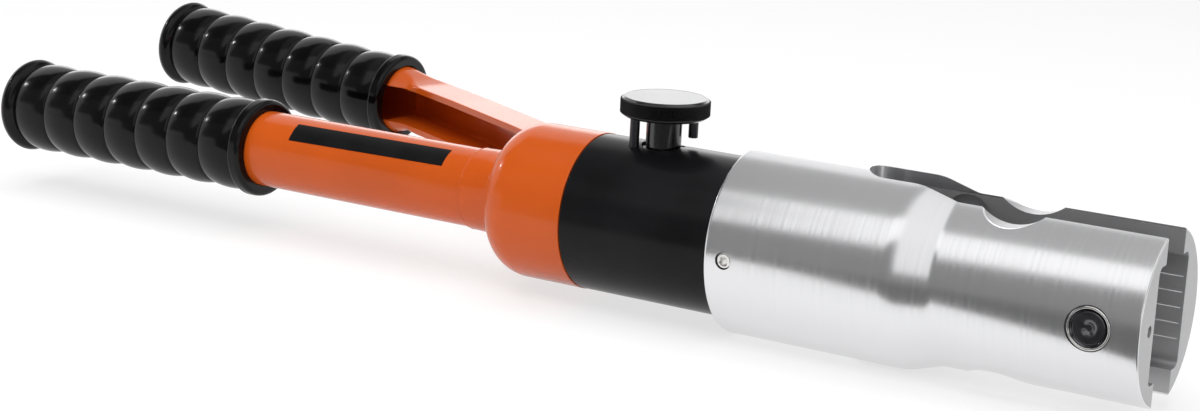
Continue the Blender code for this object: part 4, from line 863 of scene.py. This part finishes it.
def body_outline():
    """The body's outside, its nose for the head with two grooves, and its bore."""
    rear, front, bore, mouth = BODY_REAR + GAP, HEAD_REAR - GAP, 0.0220, 0.0240
    bore_floor, mouth_floor = HEAD_REAR - 0.0450, BODY_NOSE - 0.0077
    grooves = []
    for middle, half, floor in ((HEAD_REAR + 0.0296, 0.0015, 0.0273), (HEAD_REAR + 0.0086, 0.0034, 0.0270)):
        grooves += [(middle + half, NOSE_RADIUS), (middle + half, floor),
                    (middle - half, floor), (middle - half, NOSE_RADIUS)]
    return rounded((
        (bore_floor, 0.0), (bore_floor, bore), (mouth_floor, bore), (mouth_floor, mouth),
        (BODY_NOSE, mouth), (BODY_NOSE, NOSE_RADIUS, 0.0006), *grooves, (front, NOSE_RADIUS),
        (front, BODY_RADIUS, 0.0006), (rear, BODY_RADIUS, 0.0005), (rear, SPIGOT_RADIUS),
        (BODY_TAIL, SPIGOT_RADIUS, 0.0004), (BODY_TAIL, 0.0),
    ))


def bell_outline():
    """The bell from its hollow, round the rim and the shoulder, down the flared neck to the tube's seat.

    The shoulder is a quarter of an ellipse: full at the rim, and square to the axis at the neck.
    """
    outer, rear = 0.0329, NECK_REAR + 0.0180
    cavity, floor = SPIGOT_RADIUS + GAP, NECK_REAR + 0.0207
    neck, shoulder, seat = 0.0224, 0.0137, TUBE_RADIUS + GAP
    inside = rounded(((floor, 0.0), (floor, cavity, 0.003), (BODY_REAR, cavity), (BODY_REAR, outer, 0.0004),
                      (rear + shoulder, outer)))
    angle = np.linspace(0.0, math.pi / 2, 33)[:, None]
    ellipse = np.concatenate([rear + shoulder * (1 - np.sin(angle)),
                              neck + (outer - neck) * np.cos(angle)], axis=1)
    flare = rounded(((rear, neck), (rear - 0.0002, neck - 0.0004, 0.0003), (rear - 0.0030, 0.0186, 0.0028),
                     (rear - 0.0080, 0.0180, 0.0030), (NECK_REAR, 0.01765, 0.0002), (NECK_REAR, seat),
                     (TUBE_FRONT + GAP, seat), (TUBE_FRONT + GAP, 0.0)))
    return np.concatenate([inside[:-1], ellipse, flare[1:]])


class CRIMP_OT_body(bpy.types.Operator):
    """Build the black cylinder body and the orange bell with its lever lugs"""
    bl_idname = "crimp.body"
    bl_label = "Body and Bell"

    def execute(self, context):
        self.cylinder_body()
        self.bell()
        return {"FINISHED"}

    def cylinder_body(self):
        """The black body with the holes of the valve bonnet, the knob's stop post and the pump."""
        body = revolve("painted_cylinder_body", body_outline(), steps=BODY_ROUND)
        bonnet = Vector((KNOB_X, 0.0, 0.0243))
        low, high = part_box("knob_stop_post")
        post = Vector((0.5 * (low.x + high.x), 0.5 * (low.y + high.y), 0.0262))
        pump = Vector((BODY_TAIL - OVERCUT, 0.0080, 0.0))
        cutters = [rod("bonnet_hole", bonnet, bonnet + Z_AXIS * 0.02, 0.0089),
                   rod("post_hole", post, post + Z_AXIS * 0.02, 0.0022, TINY_ROUND)]
        for name, depth, radius in (("pump_gland_hole", 0.0082, 0.0090), ("pump_seal_hole", 0.0116, 0.0076),
                                    ("pump_bore", 0.0275, 0.0054)):
            cutters.append(rod(name, pump, pump + X_AXIS * (OVERCUT + depth), radius))
        combine(body, cutters, "DIFFERENCE")
        break_edges(body, 0.0002, 50.0)
        finish_piece(body, "body", "satin_black_paint", "cylinder_body")

    def bell(self):
        """The orange bell with its two lugs, the lever's window and the pivot pin's hole and spot faces."""
        bell = revolve("bell_and_neck", bell_outline(), steps=BODY_ROUND)
        inner, outer, lug_radius = 0.0126, 0.0180, 0.0095
        lug_outline = hull_outline([(PIVOT.x, y, lug_radius) for y in (PIVOT.y, PIVOT.y - 0.0066)])
        lugs = [prism("lug", lug_outline, inner, outer), prism("lug", lug_outline, -outer, -inner)]
        combine(bell, lugs, "UNION")
        reach = Z_AXIS * 0.03
        low, high = (NECK_REAR + 0.0140, 0.0190, -inner), (BODY_REAR - 0.0120, 0.0450, inner)
        cutters = [solid_box("window", low, high),
                   rod("pivot_hole", PIVOT - reach, PIVOT + reach, PIVOT_HOLE_RADIUS)]
        for side in (1, -1):
            face = PIVOT + Z_AXIS * side * outer
            cutters.append(rod("spot_face", face, face + Z_AXIS * side * 0.02, 0.0072))
        combine(bell, cutters, "DIFFERENCE")
        break_edges(bell, 0.0004, 36.0)
        finish_piece(bell, "body", "orange_powder_coat", "bell_housing")


# Handle tube, strip and grips

class CRIMP_OT_handle(bpy.types.Operator):
    """Build the fixed handle's tube, the bare black strip on it and its weld to the neck"""
    bl_idname = "crimp.handle"
    bl_label = "Fixed Handle"

    def execute(self, context):
        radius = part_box("fixed_handle_tube")[1].z
        outline = ring_outline(TUBE_REAR, TUBE_FRONT, radius - TUBE_WALL, radius, 0.0004)
        tube = revolve("handle_tube", outline, steps=BODY_ROUND)
        finish_piece(tube, "body", "orange_powder_coat", "fixed_handle_tube")
        self.weld_bead(radius)
        self.strip(radius)
        return {"FINISHED"}

    def weld_bead(self, radius):
        """Bead round the tube: a half circle whose size ripples with the angle by three sine waves."""
        rows, columns = 240, 14
        angle = np.linspace(0.0, 2 * math.pi, rows, endpoint=False)[:, None]
        around = np.linspace(0.0, 2 * math.pi, columns, endpoint=False)[None, :]
        ripple = 1.0 + 0.10 * np.sin(38 * angle) + 0.08 * np.sin(23 * angle + 1.0) + 0.06 * np.sin(7 * angle)
        size = 0.0005 * ripple
        station = NECK_REAR - 0.0001 + size * np.cos(around)
        distance = radius + 0.0002 + size * np.sin(around)
        points = np.stack([station, distance * np.cos(angle), distance * np.sin(angle)], axis=2)
        last, column = (rows - 1) * columns, np.arange(columns)
        following = (column + 1) % columns
        seam = np.stack([last + column, column, following, last + following], axis=1)
        faces = np.concatenate([grid_quads(rows, columns, True), seam])
        bead = place_object("neck_weld_bead", new_mesh("neck_weld_bead", points, faces))
        finish_piece(bead, "body", "orange_powder_coat", "bell_housing", 60.0, instead=False)

    def strip(self, radius):
        """Strip bent round the tube, a little higher at its front than at its rear."""
        rows, columns = 16, 60
        along = np.linspace(0.0, 1.0, columns)[None, :]
        round_share = np.linspace(0.0, 1.0, rows)[:, None]
        rise, low_angle, high_angle = math.radians(4.0), math.radians(33.5), math.radians(65.5)
        start, end, thickness = 0.1705, 0.2528, 0.0001
        station = start + (end - start) * along + 0.0 * round_share
        angle = low_angle + (high_angle - low_angle) * round_share + rise * along
        distance = radius + 0.00008
        points = np.stack([station, -distance * np.cos(angle), distance * np.sin(angle)], axis=2)
        mesh = new_mesh("black_strip", points, grid_quads(rows, columns, False), close=False)
        item = place_object("black_strip", mesh)
        wall = item.modifiers.new("Thickness", "SOLIDIFY")
        wall.thickness = thickness
        wall.offset = 0.0
        bake_modifiers(item)
        tidy_mesh(item.data)
        finish_piece(item, "body", "black_strip", "fixed_handle_tube", instead=False)


def grip_outline(sizes):
    """Grip from its hollow, over the front flange, the lobes and the rear flange, to the middle of the butt.

    Each lobe is a sine arch raised to the power of its fullness: below 1, it is full beside narrow valleys.
    """
    bore, wall = TUBE_RADIUS + GAP, TUBE_WALL
    flange, length_all = 0.0080, GRIP_LENGTH
    fullness, lobe_steps = 0.62, 28
    first, last = flange - 0.0006, length_all - flange + 0.0010
    share = np.linspace(0.0, sizes.lobes, sizes.lobes * lobe_steps + 1)
    arch = np.abs(np.sin(math.pi * share)) ** fullness
    lobes = np.stack([last - (last - first) * share / sizes.lobes,
                      sizes.valley_radius + (sizes.crest_radius - sizes.valley_radius) * arch], axis=1)
    rim = sizes.flange_radius
    front = rounded(((wall, 0.0), (wall, bore), (length_all, bore), (length_all, rim - 0.0002, 0.0034),
                     (length_all - 0.0054, rim, 0.0030), (length_all - flange + 0.0016, rim - 0.0012, 0.0016),
                     (last, sizes.valley_radius)))
    rear = rounded(((first, sizes.valley_radius), (0.0062, rim - 0.0012, 0.0012), (0.0036, rim, 0.0022),
                    (0.0, rim - 0.0016, 0.0022), (0.0, 0.0130, 0.0008), (0.0005, 0.0118, 0.0006),
                    (0.0005, 0.0)))
    return np.concatenate([front[:-1], lobes, rear[1:]])


class CRIMP_OT_grips(bpy.types.Operator):
    """Build the two wavy grips"""
    bl_idname = "crimp.grips"
    bl_label = "Grips"

    def execute(self, context):
        outline = grip_outline(context.scene.crimp_grips)
        lever_butt, lever_front = lever_grip_ends()
        grips = (("fixed_wavy_grip", "fixed_grip", "body", Vector(), X_AXIS),
                 ("lever_wavy_grip", "lever_grip", "lever", lever_butt, lever_front - lever_butt))
        for name, node, body, butt, direction in grips:
            item = revolve(name, outline, butt, direction, GRIP_ROUND)
            finish_piece(item, body, "glossy_grip_rubber", node, 50.0)
        return {"FINISHED"}


def lever_grip_ends():
    """Middle of the lever grip's butt and of its front end."""
    return Vector((-0.0166, 0.1301, 0.0132)), Vector((0.1306, 0.1269, 0.0027))


# Release knob

def knob_surface(sizes):
    """Knob from the top's middle, over the knurled rim, down the stem to the needle's tip.

    The rim's radius drops by the knurl depth times a folded sine of the angle to the power 1.5, fading out at
    both chamfers.
    """
    low, high = sizes.bottom, sizes.top
    rim, stem, collar_radius = sizes.radius, sizes.stem_radius, sizes.collar_radius
    inner = rim - sizes.knurl_depth
    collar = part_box("valve_bonnet")[1].z + RUNNING_GAP
    outline = rounded((
        (high - 0.0001, 0.0), (high - 0.0001, inner - 0.0016, 0.0004), (high, inner - 0.0011, 0.0003),
        (high - 0.0008, inner, 0.0003), (high - 0.0012, rim, 0.0002), (low + 0.0014, rim, 0.0002),
        (low + 0.0009, inner, 0.0003), (low, inner - 0.0012, 0.0003), (low, collar_radius, 0.0006),
        (collar, collar_radius, 0.0003), (collar, stem), (0.0285, stem, 0.0003), (0.0285, 0.0028),
        (0.0265, 0.0028, 0.0003), (0.0250, 0.0006), (0.0250, 0.0),
    ))
    steps = sizes.teeth * 6
    angle = np.linspace(0.0, 2 * math.pi, steps, endpoint=False)[None, :]
    station, radius = outline[:, 0:1], outline[:, 1:2]
    knurled = np.clip((radius - inner) / sizes.knurl_depth, 0.0, 1.0)
    tooth = np.abs(np.sin(0.5 * sizes.teeth * angle))
    radius = radius - knurled * sizes.knurl_depth * tooth ** 1.5
    return np.stack([KNOB_X + radius * np.cos(angle), radius * np.sin(angle), station + 0.0 * angle], axis=2)


class CRIMP_OT_knob(bpy.types.Operator):
    """Build the knurled release knob with its stop pin and post, and the bonnet round its stem"""
    bl_idname = "crimp.knob"
    bl_label = "Release Knob"

    def execute(self, context):
        sizes = context.scene.crimp_knob
        points = knob_surface(sizes)
        mesh = new_mesh("knurled_release_knob", points, grid_quads(*points.shape[:2], True))
        knob = place_object("knurled_release_knob", mesh)
        finish_piece(knob, "knob", "knob_black", "release_knob", 40.0)
        self.stop("knob_stop_pin", "knob", 0.0016)
        self.stop("knob_stop_post", "body", 0.0)
        self.bonnet()
        return {"FINISHED"}

    def stop(self, node, body, longer):
        """Round pin over the CAD piece's height, and longer below by the given length."""
        low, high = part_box(node)
        start = Vector((0.5 * (low.x + high.x), 0.5 * (low.y + high.y), 0.0))
        outline = rod_outline(low.z - longer, high.z, 0.0020, 0.0003)
        item = revolve(node + "_turned", outline, start, Z_AXIS, TINY_ROUND)
        finish_piece(item, body, "black_steel", node)

    def bonnet(self):
        """Round bonnet with a wide bore for the knob's stem over a narrow one for the needle."""
        low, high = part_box("valve_bonnet")
        radius, bore, narrow, ledge = 0.0086, 0.00655, 0.0031, 0.0282
        inside = low.z + 0.0015
        outline = rounded(((inside, narrow), (ledge, narrow), (ledge, bore), (high.z, bore, 0.0003),
                           (high.z, radius, 0.0004), (low.z, radius, 0.0003), (low.z, narrow),
                           (inside, narrow)))
        item = revolve("valve_bonnet_turned", outline, Vector((KNOB_X, 0, 0)), Z_AXIS, SMALL_ROUND)
        finish_piece(item, "body", "black_steel", "valve_bonnet")


# Pump lever

def lever_route(share):
    """Middle line of the lever: straight pieces between its stations, rounded off by a short running mean."""
    butt, front = lever_grip_ends()
    rearward = (butt - front).normalized()
    corners = ((0.2415, 0.0792, 0.0), (0.1842, 0.1105, 0.0), (0.1500, 0.1258, 0.0008),
               (0.1400, 0.1285, 0.0018))
    stops = np.array([LEVER_ROOT, *map(Vector, corners), front + rearward * GAP, front + rearward * 0.0120,
                      butt - rearward * TUBE_REAR])
    steps = np.linalg.norm(np.diff(stops, axis=0), axis=1)
    place = np.concatenate([[0.0], np.cumsum(steps)])
    wanted = share * place[-1]
    route = np.stack([np.interp(wanted, place, stops[:, i]) for i in range(3)], axis=1)
    return smoothed(route, 7), place / place[-1]


def smoothed(values, width):
    """Running mean along the first axis that keeps both ends where they are."""
    kernel = np.hanning(2 * width + 3)[1:-1]
    kernel /= kernel.sum()
    before = 2 * values[:1] - values[width:0:-1]
    after = 2 * values[-1:] - values[-2:-width - 2:-1]
    padded = np.concatenate([before, values, after])
    return np.stack([np.convolve(padded[:, i], kernel, "valid") for i in range(values.shape[1])], axis=1)


def lever_sizes_along(share, marks, sizes):
    """Half width, half height, far corner and near corner of the section at each share of the route."""
    tube, rim = sizes.tube_radius, 0.0006
    half_width = (0.0095, 0.0103, 0.0107, 0.0108, 0.0125, tube, tube, tube)
    half_height = (sizes.half_height,) * 4 + (0.0128, tube, tube, tube)
    far_corner = (sizes.corner,) * 4 + (0.0075, tube, tube, tube)
    near_corner = (rim,) * 4 + (0.0060, tube, tube, tube)
    columns = (half_width, half_height, far_corner, near_corner)
    return smoothed(np.stack([np.interp(share, marks, column) for column in columns], axis=1), 4)


def route_frames(route):
    """Side and up directions at each point, square to the route, as arrays."""
    heading = np.gradient(route, axis=0)
    heading /= np.linalg.norm(heading, axis=1)[:, None]
    side = np.cross(np.array(Z_AXIS), heading)
    side /= np.linalg.norm(side, axis=1)[:, None]
    return side, np.cross(heading, side)


def section_points(columns, corner_steps=10):
    """Rounded rectangle of each row's half width, half height and corners: its four quarter arcs, in turn."""
    half_width, half_height, far_corner, near_corner = (columns[:, i:i + 1] for i in range(4))
    most = 0.985 * np.minimum(half_width, half_height)
    quarter = np.linspace(0.0, math.pi / 2, corner_steps)[None, :]
    made = []
    for turn, (side, up) in enumerate(((1, 1), (-1, 1), (-1, -1), (1, -1))):
        corner = np.minimum(near_corner if side > 0 else far_corner, most)
        angle = quarter + turn * math.pi / 2
        made.append(np.stack([side * (half_width - corner) + corner * np.cos(angle),
                              up * (half_height - corner) + corner * np.sin(angle)], axis=2))
    return np.concatenate(made, axis=1)


def swept(name, route, sections):
    """Closed solid through sections placed along the route: route + side times across + up times height."""
    side, up = route_frames(route)
    across, height = sections[:, :, 0:1], sections[:, :, 1:2]
    points = route[:, None, :] + across * side[:, None, :] + height * up[:, None, :]
    rows, columns = points.shape[:2]
    faces = [tuple(quad) for quad in grid_quads(rows, columns, True).tolist()]
    faces.append(tuple(range(columns)))
    faces.append(tuple(range((rows - 1) * columns, rows * columns)))
    return place_object(name, new_mesh(name, points, faces))


class CRIMP_OT_lever(bpy.types.Operator):
    """Build the pump lever: a tube pressed into an open channel, with two ears at its front"""
    bl_idname = "crimp.lever"
    bl_label = "Pump Lever"

    def execute(self, context):
        sizes = context.scene.crimp_lever
        share = np.linspace(0.0, 1.0, 240)
        route, marks = lever_route(share)
        columns = lever_sizes_along(share, marks, sizes)
        lever = swept("pressed_pump_lever", route, section_points(columns))
        hollows = [self.channel(route, columns, share <= marks[6], sizes), self.bore(sizes)]
        combine(lever, hollows, "DIFFERENCE")
        combine(lever, self.ears(sizes), "UNION")
        reach = Z_AXIS * 0.02
        pivot = Vector((PIVOT.x, PIVOT.y, 0.0))
        holes = [rod("pivot_hole", pivot - reach, pivot + reach, PIVOT_HOLE_RADIUS),
                 rod("link_hole", LINK - reach, LINK + reach, 0.0033)]
        combine(lever, holes, "DIFFERENCE")
        break_edges(lever, 0.0004, 50.0)
        finish_piece(lever, "lever", "orange_powder_coat", "pump_lever", 35.0)
        return {"FINISHED"}

    def channel(self, route, columns, inside, sizes):
        """Inside of the channel, open on the side of the fixed handle, up to a little inside the grip."""
        rows = columns[inside]
        inner_height = 0.0 * rows[:, 1:2] + sizes.half_height - sizes.wall
        back = np.minimum(rows[:, 0:1] - sizes.wall, 0.0112)
        near = -rows[:, 0:1] - OVERCUT
        bend = 0.0012
        across = np.concatenate([near, -back, back - bend, back, back, back - bend, -back, near], axis=1)
        low, high = -inner_height, inner_height
        height = np.concatenate([low, low, low, low + bend, high - bend, high, high, high], axis=1)
        sections = np.stack([-across, height], axis=2)
        ahead = route[:1] + (route[:1] - route[1:2]) * 6
        path = np.concatenate([ahead, route[inside]])
        return swept("channel", path, np.concatenate([sections[:1], sections]))

    def bore(self, sizes):
        """Bore of the lever's tube, from behind its butt to the grip's front."""
        butt, front = lever_grip_ends()
        start = butt + (front - butt).normalized() * (TUBE_REAR - OVERCUT)
        return rod("lever_bore", start, front, sizes.tube_radius - TUBE_WALL)

    def ears(self, sizes):
        """The two ears: plates over circles round the link pin, the pivot and the channel's front end."""
        outline = hull_outline([(spot.x, spot.y, radius) for spot, radius in (
            (LINK, 0.0055), (PIVOT, 0.0090), (LEVER_ROOT, 0.0088))])
        inset = 0.00005
        top, floor = sizes.half_height - inset, sizes.half_height - sizes.wall + inset
        return [prism("ear", outline, floor, top), prism("ear", outline, -top, -floor)]


class CRIMP_OT_pivot(bpy.types.Operator):
    """Build the lever's pivot pin and its two circlips"""
    bl_idname = "crimp.pivot"
    bl_label = "Lever Pivot"

    def execute(self, context):
        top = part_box("lever_pivot_pin")[1].z
        start = Vector((PIVOT.x, PIVOT.y, 0.0))
        radius, neck, groove = PIVOT_RADIUS, 0.0034, 0.0183
        half = ((top, 0.0), (top, radius, 0.0004), (groove + 0.0013, radius), (groove + 0.0013, neck),
                (groove, neck), (groove, radius))
        mirrored = tuple((-corner[0], *corner[1:]) for corner in reversed(half))
        pin = revolve("lever_pivot_turned", rounded(half + mirrored), start, Z_AXIS, SCREW_ROUND)
        finish_piece(pin, "body", "ground_steel", "lever_pivot_pin")
        for word, side in (("upper", 1), ("lower", -1)):
            self.circlip(word, start, side)
        return {"FINISHED"}

    def circlip(self, word, start, side):
        """Open ring: a flat ring with a gap, and two round lugs with small holes beside the gap."""
        low, thickness, gap = 0.01845, 0.0010, 0.0009
        outline = ring_outline(low, low + thickness, 0.0037, 0.0055, 0.0001)
        ring = revolve(word + "_open_ring", outline, Vector(), Z_AXIS, SMALL_ROUND)
        combine(ring, self.beside_gap("lug", low + 0.00005, low + 0.00095, 0.0011, 24), "UNION")
        below, above = low - 0.001, low + 0.002
        opening = solid_box("gap", (-gap, 0.0, below), (gap, 0.008, above))
        combine(ring, [opening, *self.beside_gap("eye", below, above, 0.0005, 16)], "DIFFERENCE")
        if side < 0:
            ring.data.transform(Matrix.Rotation(math.pi, 4, "X"))
        ring.data.transform(Matrix.Translation(start))
        finish_piece(ring, "body", "black_steel", word + "_circlip")

    def beside_gap(self, name, low, high, radius, steps):
        """A small upright cylinder on each side of the circlip's gap."""
        distance, spread = 0.0051, 0.33
        made = []
        for angle in (math.pi / 2 - spread, math.pi / 2 + spread):
            spot = Vector((distance * math.cos(angle), distance * math.sin(angle), 0.0))
            made.append(rod(name, spot + Z_AXIS * low, spot + Z_AXIS * high, radius, steps))
        return made


# Hidden pieces keep their CAD shape and get a finish

class CRIMP_OT_inner_pieces(bpy.types.Operator):
    """Give the pieces inside the tool their finishes"""
    bl_idname = "crimp.inner_pieces"
    bl_label = "Inner Pieces"

    finishes = {
        "ground_steel": ("ram", "pump_plunger", "plunger_link_pin"),
        "bronze": ("ram_gland", "pump_gland"),
        "seal_rubber": ("head_seal", "rod_seal", "piston_seal", "pump_seal", "tank_bladder"),
        "bright_steel": ("return_spring",),
        "black_steel": ("tank_plug",),
    }

    def execute(self, context):
        for name, nodes in self.finishes.items():
            for node in nodes:
                item = frame["nodes"][node]
                item.data.materials.clear()
                item.data.materials.append(finish_named(name))
        return {"FINISHED"}


# Studio

def seen_or_mirrored(tree):
    """Output that is 1 for camera, glossy and transmission rays and 0 for the rays that gather light."""
    rays = tree.node("LightPath").outputs
    either = rays["Is Camera Ray"]
    for ray in ("Is Glossy Ray", "Is Transmission Ray"):
        either = tree.node("Math", {0: either, 1: rays[ray]}, operation="MAXIMUM").outputs["Value"]
    return either


def card(name, corners, strength):
    """Flat card that only shows in reflections: a plain glowing surface, or a dark one at a low strength."""
    mesh = bpy.data.meshes.new(name)
    mesh.from_pydata(corners, [], [tuple(range(len(corners)))])
    item = place_object(name, mesh)
    finish = bpy.data.materials.new(name)
    finish.use_nodes = True
    tree = Tree(finish.node_tree)
    tree.nodes.clear()
    glow = tree.node("Emission", {"Strength": strength})
    tree.node("OutputMaterial", {"Surface": glow.outputs["Emission"]})
    mesh.materials.append(finish)
    for ray in ("camera", "diffuse", "shadow", "transmission"):
        setattr(item, "visible_" + ray, False)
    item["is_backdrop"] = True


def area_lamp(name, place, aim, size, power, glossy):
    """Rectangular lamp at a place, turned to its aim, that reflections show only if glossy."""
    light = bpy.data.lights.new(name, "AREA")
    light.shape = "RECTANGLE"
    light.size, light.size_y = size
    light.energy = power
    item = bpy.data.objects.new(name, light)
    bpy.context.scene.collection.objects.link(item)
    item.location = place
    item.rotation_euler = (aim - Vector(place)).to_track_quat("-Z", "Y").to_euler()
    item.visible_glossy = glossy


class CRIMP_OT_stage(bpy.types.Operator):
    """Set up the floor, the lamps, the reflection cards, the white surroundings and the camera"""
    bl_idname = "crimp.stage"
    bl_label = "Stage"

    def execute(self, context):
        self.floor(context)
        self.surroundings(context)
        self.lamps()
        self.camera(context)
        context.scene.view_settings.view_transform = "Standard"
        return {"FINISHED"}

    def floor(self, context):
        """Pale floor that mostly glows by itself to the camera and in reflections, for a soft shadow."""
        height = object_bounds()[0].z - 0.0002
        mesh = bpy.data.meshes.new("floor")
        corners = [(x, y, height) for x, y in ((-6, -5), (6, -5), (6, 7), (-6, 7))]
        mesh.from_pydata(corners, [], [(0, 1, 2, 3)])
        floor = place_object("floor", mesh)
        finish = bpy.data.materials.new("pale_floor")
        finish.use_nodes = True
        tree = Tree(finish.node_tree)
        shader = tree.nodes["Principled BSDF"]
        tree.feed(shader.inputs["Base Color"], (*context.scene.crimp_finishes.floor, 1.0))
        tree.feed(shader.inputs["Roughness"], 0.9)
        tree.feed(shader.inputs["Specular IOR Level"], 0.0)
        glow = tree.node("Emission", {"Strength": 1.0})
        share = tree.node("Math", {0: seen_or_mirrored(tree), 1: 0.7}, operation="MULTIPLY")
        mix = tree.node("MixShader", {"Fac": share.outputs["Value"], 1: shader.outputs["BSDF"],
                                      2: glow.outputs["Emission"]})
        tree.feed(tree.nodes["Material Output"].inputs["Surface"], mix.outputs["Shader"])
        mesh.materials.append(finish)
        floor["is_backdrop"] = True

    def surroundings(self, context):
        """White all round to the camera and in reflections, and a dimmer even light on the surfaces."""
        world = bpy.data.worlds.new("white_studio")
        context.scene.world = world
        world.use_nodes = True
        tree = Tree(world.node_tree)
        strength = tree.node("MapRange", {"Value": seen_or_mirrored(tree), "To Min": 0.36, "To Max": 1.0})
        background = tree.nodes["Background"].inputs
        tree.feed(background["Color"], (1.0, 1.0, 1.0, 1.0))
        tree.feed(background["Strength"], strength.outputs["Result"])

    def lamps(self):
        """Two softboxes above, a small hard lamp for the sparks on the grips, and the reflection cards."""
        middle = Vector((0.3, 0.0, 0.0))
        area_lamp("overhead_softbox", (0.2, 0.1, 1.6), middle, (2.0, 1.2), 20.0, False)
        area_lamp("front_softbox", (0.5, -1.0, 1.4), middle, (1.6, 0.8), 14.0, False)
        area_lamp("spark", (-1.35, -0.18, 0.80), middle, (0.06, 0.06), 1.4, True)
        wall, ceiling, ground = -1.2, 1.6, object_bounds()[0].z
        upright = {
            "bright_wall": (1.25, (
                (-0.36, 0.66), (-0.10, 0.86), (0.02, 1.06), (0.45, 1.22), (0.45, ceiling), (-0.56, ceiling))),
            "dark_wall": (0.26, (
                (-2.7, 0.36), (-0.71, 0.33), (-0.60, 0.24), (-0.48, ground), (1.3, ground), (1.3, 0.20),
                (0.50, 0.20), (0.42, 1.22), (0.02, 1.06), (-0.10, 0.86), (-0.36, 0.66), (-0.56, ceiling),
                (-2.7, ceiling))),
        }
        overhead = {
            "bright_ceiling": (1.25, (
                (-0.56, wall), (0.45, wall), (0.45, -0.48), (-0.10, -0.50), (-0.50, -0.66))),
            "grey_ceiling": (0.46, (
                (-0.50, -0.66), (-0.10, -0.50), (0.30, -0.49), (0.30, 1.1), (-0.60, 1.3))),
            "dark_ceiling": (0.10, (
                (-2.7, wall), (-0.56, wall), (-0.50, -0.62), (-0.60, 1.3), (-0.72, 0.9), (-0.98, 0.36),
                (-2.7, 0.25))),
            "dark_back_ceiling": (0.20, ((-0.05, 1.35), (1.7, 1.35), (1.7, 2.7), (-0.05, 2.7))),
        }
        for name, (strength, outline) in upright.items():
            card(name, [(x, wall, z) for x, z in outline], strength)
        for name, (strength, outline) in overhead.items():
            card(name, [(x, y, ceiling) for x, y in outline], strength)
        card("dark_ground", [(x, y, ground + 0.0002) for x, y in (
            (1.3, -0.02), (0.62, -0.02), (0.527, -0.076), (0.400, -0.158), (0.330, -0.236), (0.19, -0.231),
            (0.16, -0.25), (-0.48, wall), (1.3, wall))], 0.16)
        card("dark_side", [(1.9, y, z) for y, z in (
            (-2.0, 0.40), (2.6, 0.40), (2.6, 1.15), (-2.0, 1.15))], 0.18)
        card("bright_back", [(x, 3.2, z) for x, z in (
            (-4.0, 0.25), (0.2, 0.25), (0.2, 1.45), (-4.0, 1.45))], 2.2)

    def camera(self, context):
        """Camera fitted to the photograph: place, turn about Z, tilt, roll and lens."""
        data = bpy.data.cameras.new("photo_camera")
        data.sensor_width = 36.0
        data.lens = 68.49
        item = bpy.data.objects.new("photo_camera", data)
        bpy.context.scene.collection.objects.link(item)
        yaw, pitch, roll = (math.radians(angle) for angle in (30.61326738, -13.48772995, -2.76409182))
        turn = Matrix.Rotation(yaw, 3, "Z") @ Matrix.Rotation(pitch, 3, "X") @ Matrix.Rotation(roll, 3, "Y")
        right, forward, up = turn.col
        item.matrix_world = Matrix.Translation((0.79470, -0.79539, 0.22402)) @ Matrix(
            (right, up, -forward)).transposed().to_4x4()
        data.clip_start, data.clip_end = 0.01, 30.0
        context.scene.camera = item


class CRIMP_PT_panel(bpy.types.Panel):
    bl_idname = "CRIMP_PT_panel"
    bl_label = "Crimping Tool"
    bl_space_type = "VIEW_3D"
    bl_region_type = "UI"
    bl_category = "Crimping Tool"

    def draw(self, context):
        column = self.layout.column()
        for operator in STEPS:
            column.operator(operator.bl_idname)
        for group in ("crimp_head", "crimp_knob", "crimp_grips", "crimp_lever", "crimp_finishes"):
            box = self.layout.box()
            settings = getattr(context.scene, group)
            for name in settings.bl_rna.properties.keys():
                if name not in ("rna_type", "name"):
                    box.prop(settings, name)


STEPS = (CRIMP_OT_head, CRIMP_OT_head_fittings, CRIMP_OT_ram_carriage, CRIMP_OT_body, CRIMP_OT_handle,
         CRIMP_OT_grips, CRIMP_OT_knob, CRIMP_OT_lever, CRIMP_OT_pivot, CRIMP_OT_inner_pieces, CRIMP_OT_stage)
GROUPS_OF_SETTINGS = {"crimp_head": HeadSizes, "crimp_knob": KnobSizes, "crimp_grips": GripSizes,
                      "crimp_lever": LeverSizes, "crimp_finishes": Finishes}


def register():
    for group in GROUPS_OF_SETTINGS.values():
        bpy.utils.register_class(group)
    for name, group in GROUPS_OF_SETTINGS.items():
        setattr(bpy.types.Scene, name, PointerProperty(type=group))
    for step in STEPS:
        bpy.utils.register_class(step)
    bpy.utils.register_class(CRIMP_PT_panel)


def unregister():
    bpy.utils.unregister_class(CRIMP_PT_panel)
    for step in reversed(STEPS):
        bpy.utils.unregister_class(step)
    for name in GROUPS_OF_SETTINGS:
        delattr(bpy.types.Scene, name)
    for group in GROUPS_OF_SETTINGS.values():
        bpy.utils.unregister_class(group)


def main():
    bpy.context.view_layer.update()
    register()
    bpy.ops.crimp.head()
    bpy.ops.crimp.head_fittings()
    bpy.ops.crimp.ram_carriage()
    bpy.ops.crimp.body()
    bpy.ops.crimp.handle()
    bpy.ops.crimp.grips()
    bpy.ops.crimp.knob()
    bpy.ops.crimp.lever()
    bpy.ops.crimp.pivot()
    bpy.ops.crimp.inner_pieces()
    bpy.ops.crimp.stage()


if __name__ == "__main__":
    main()
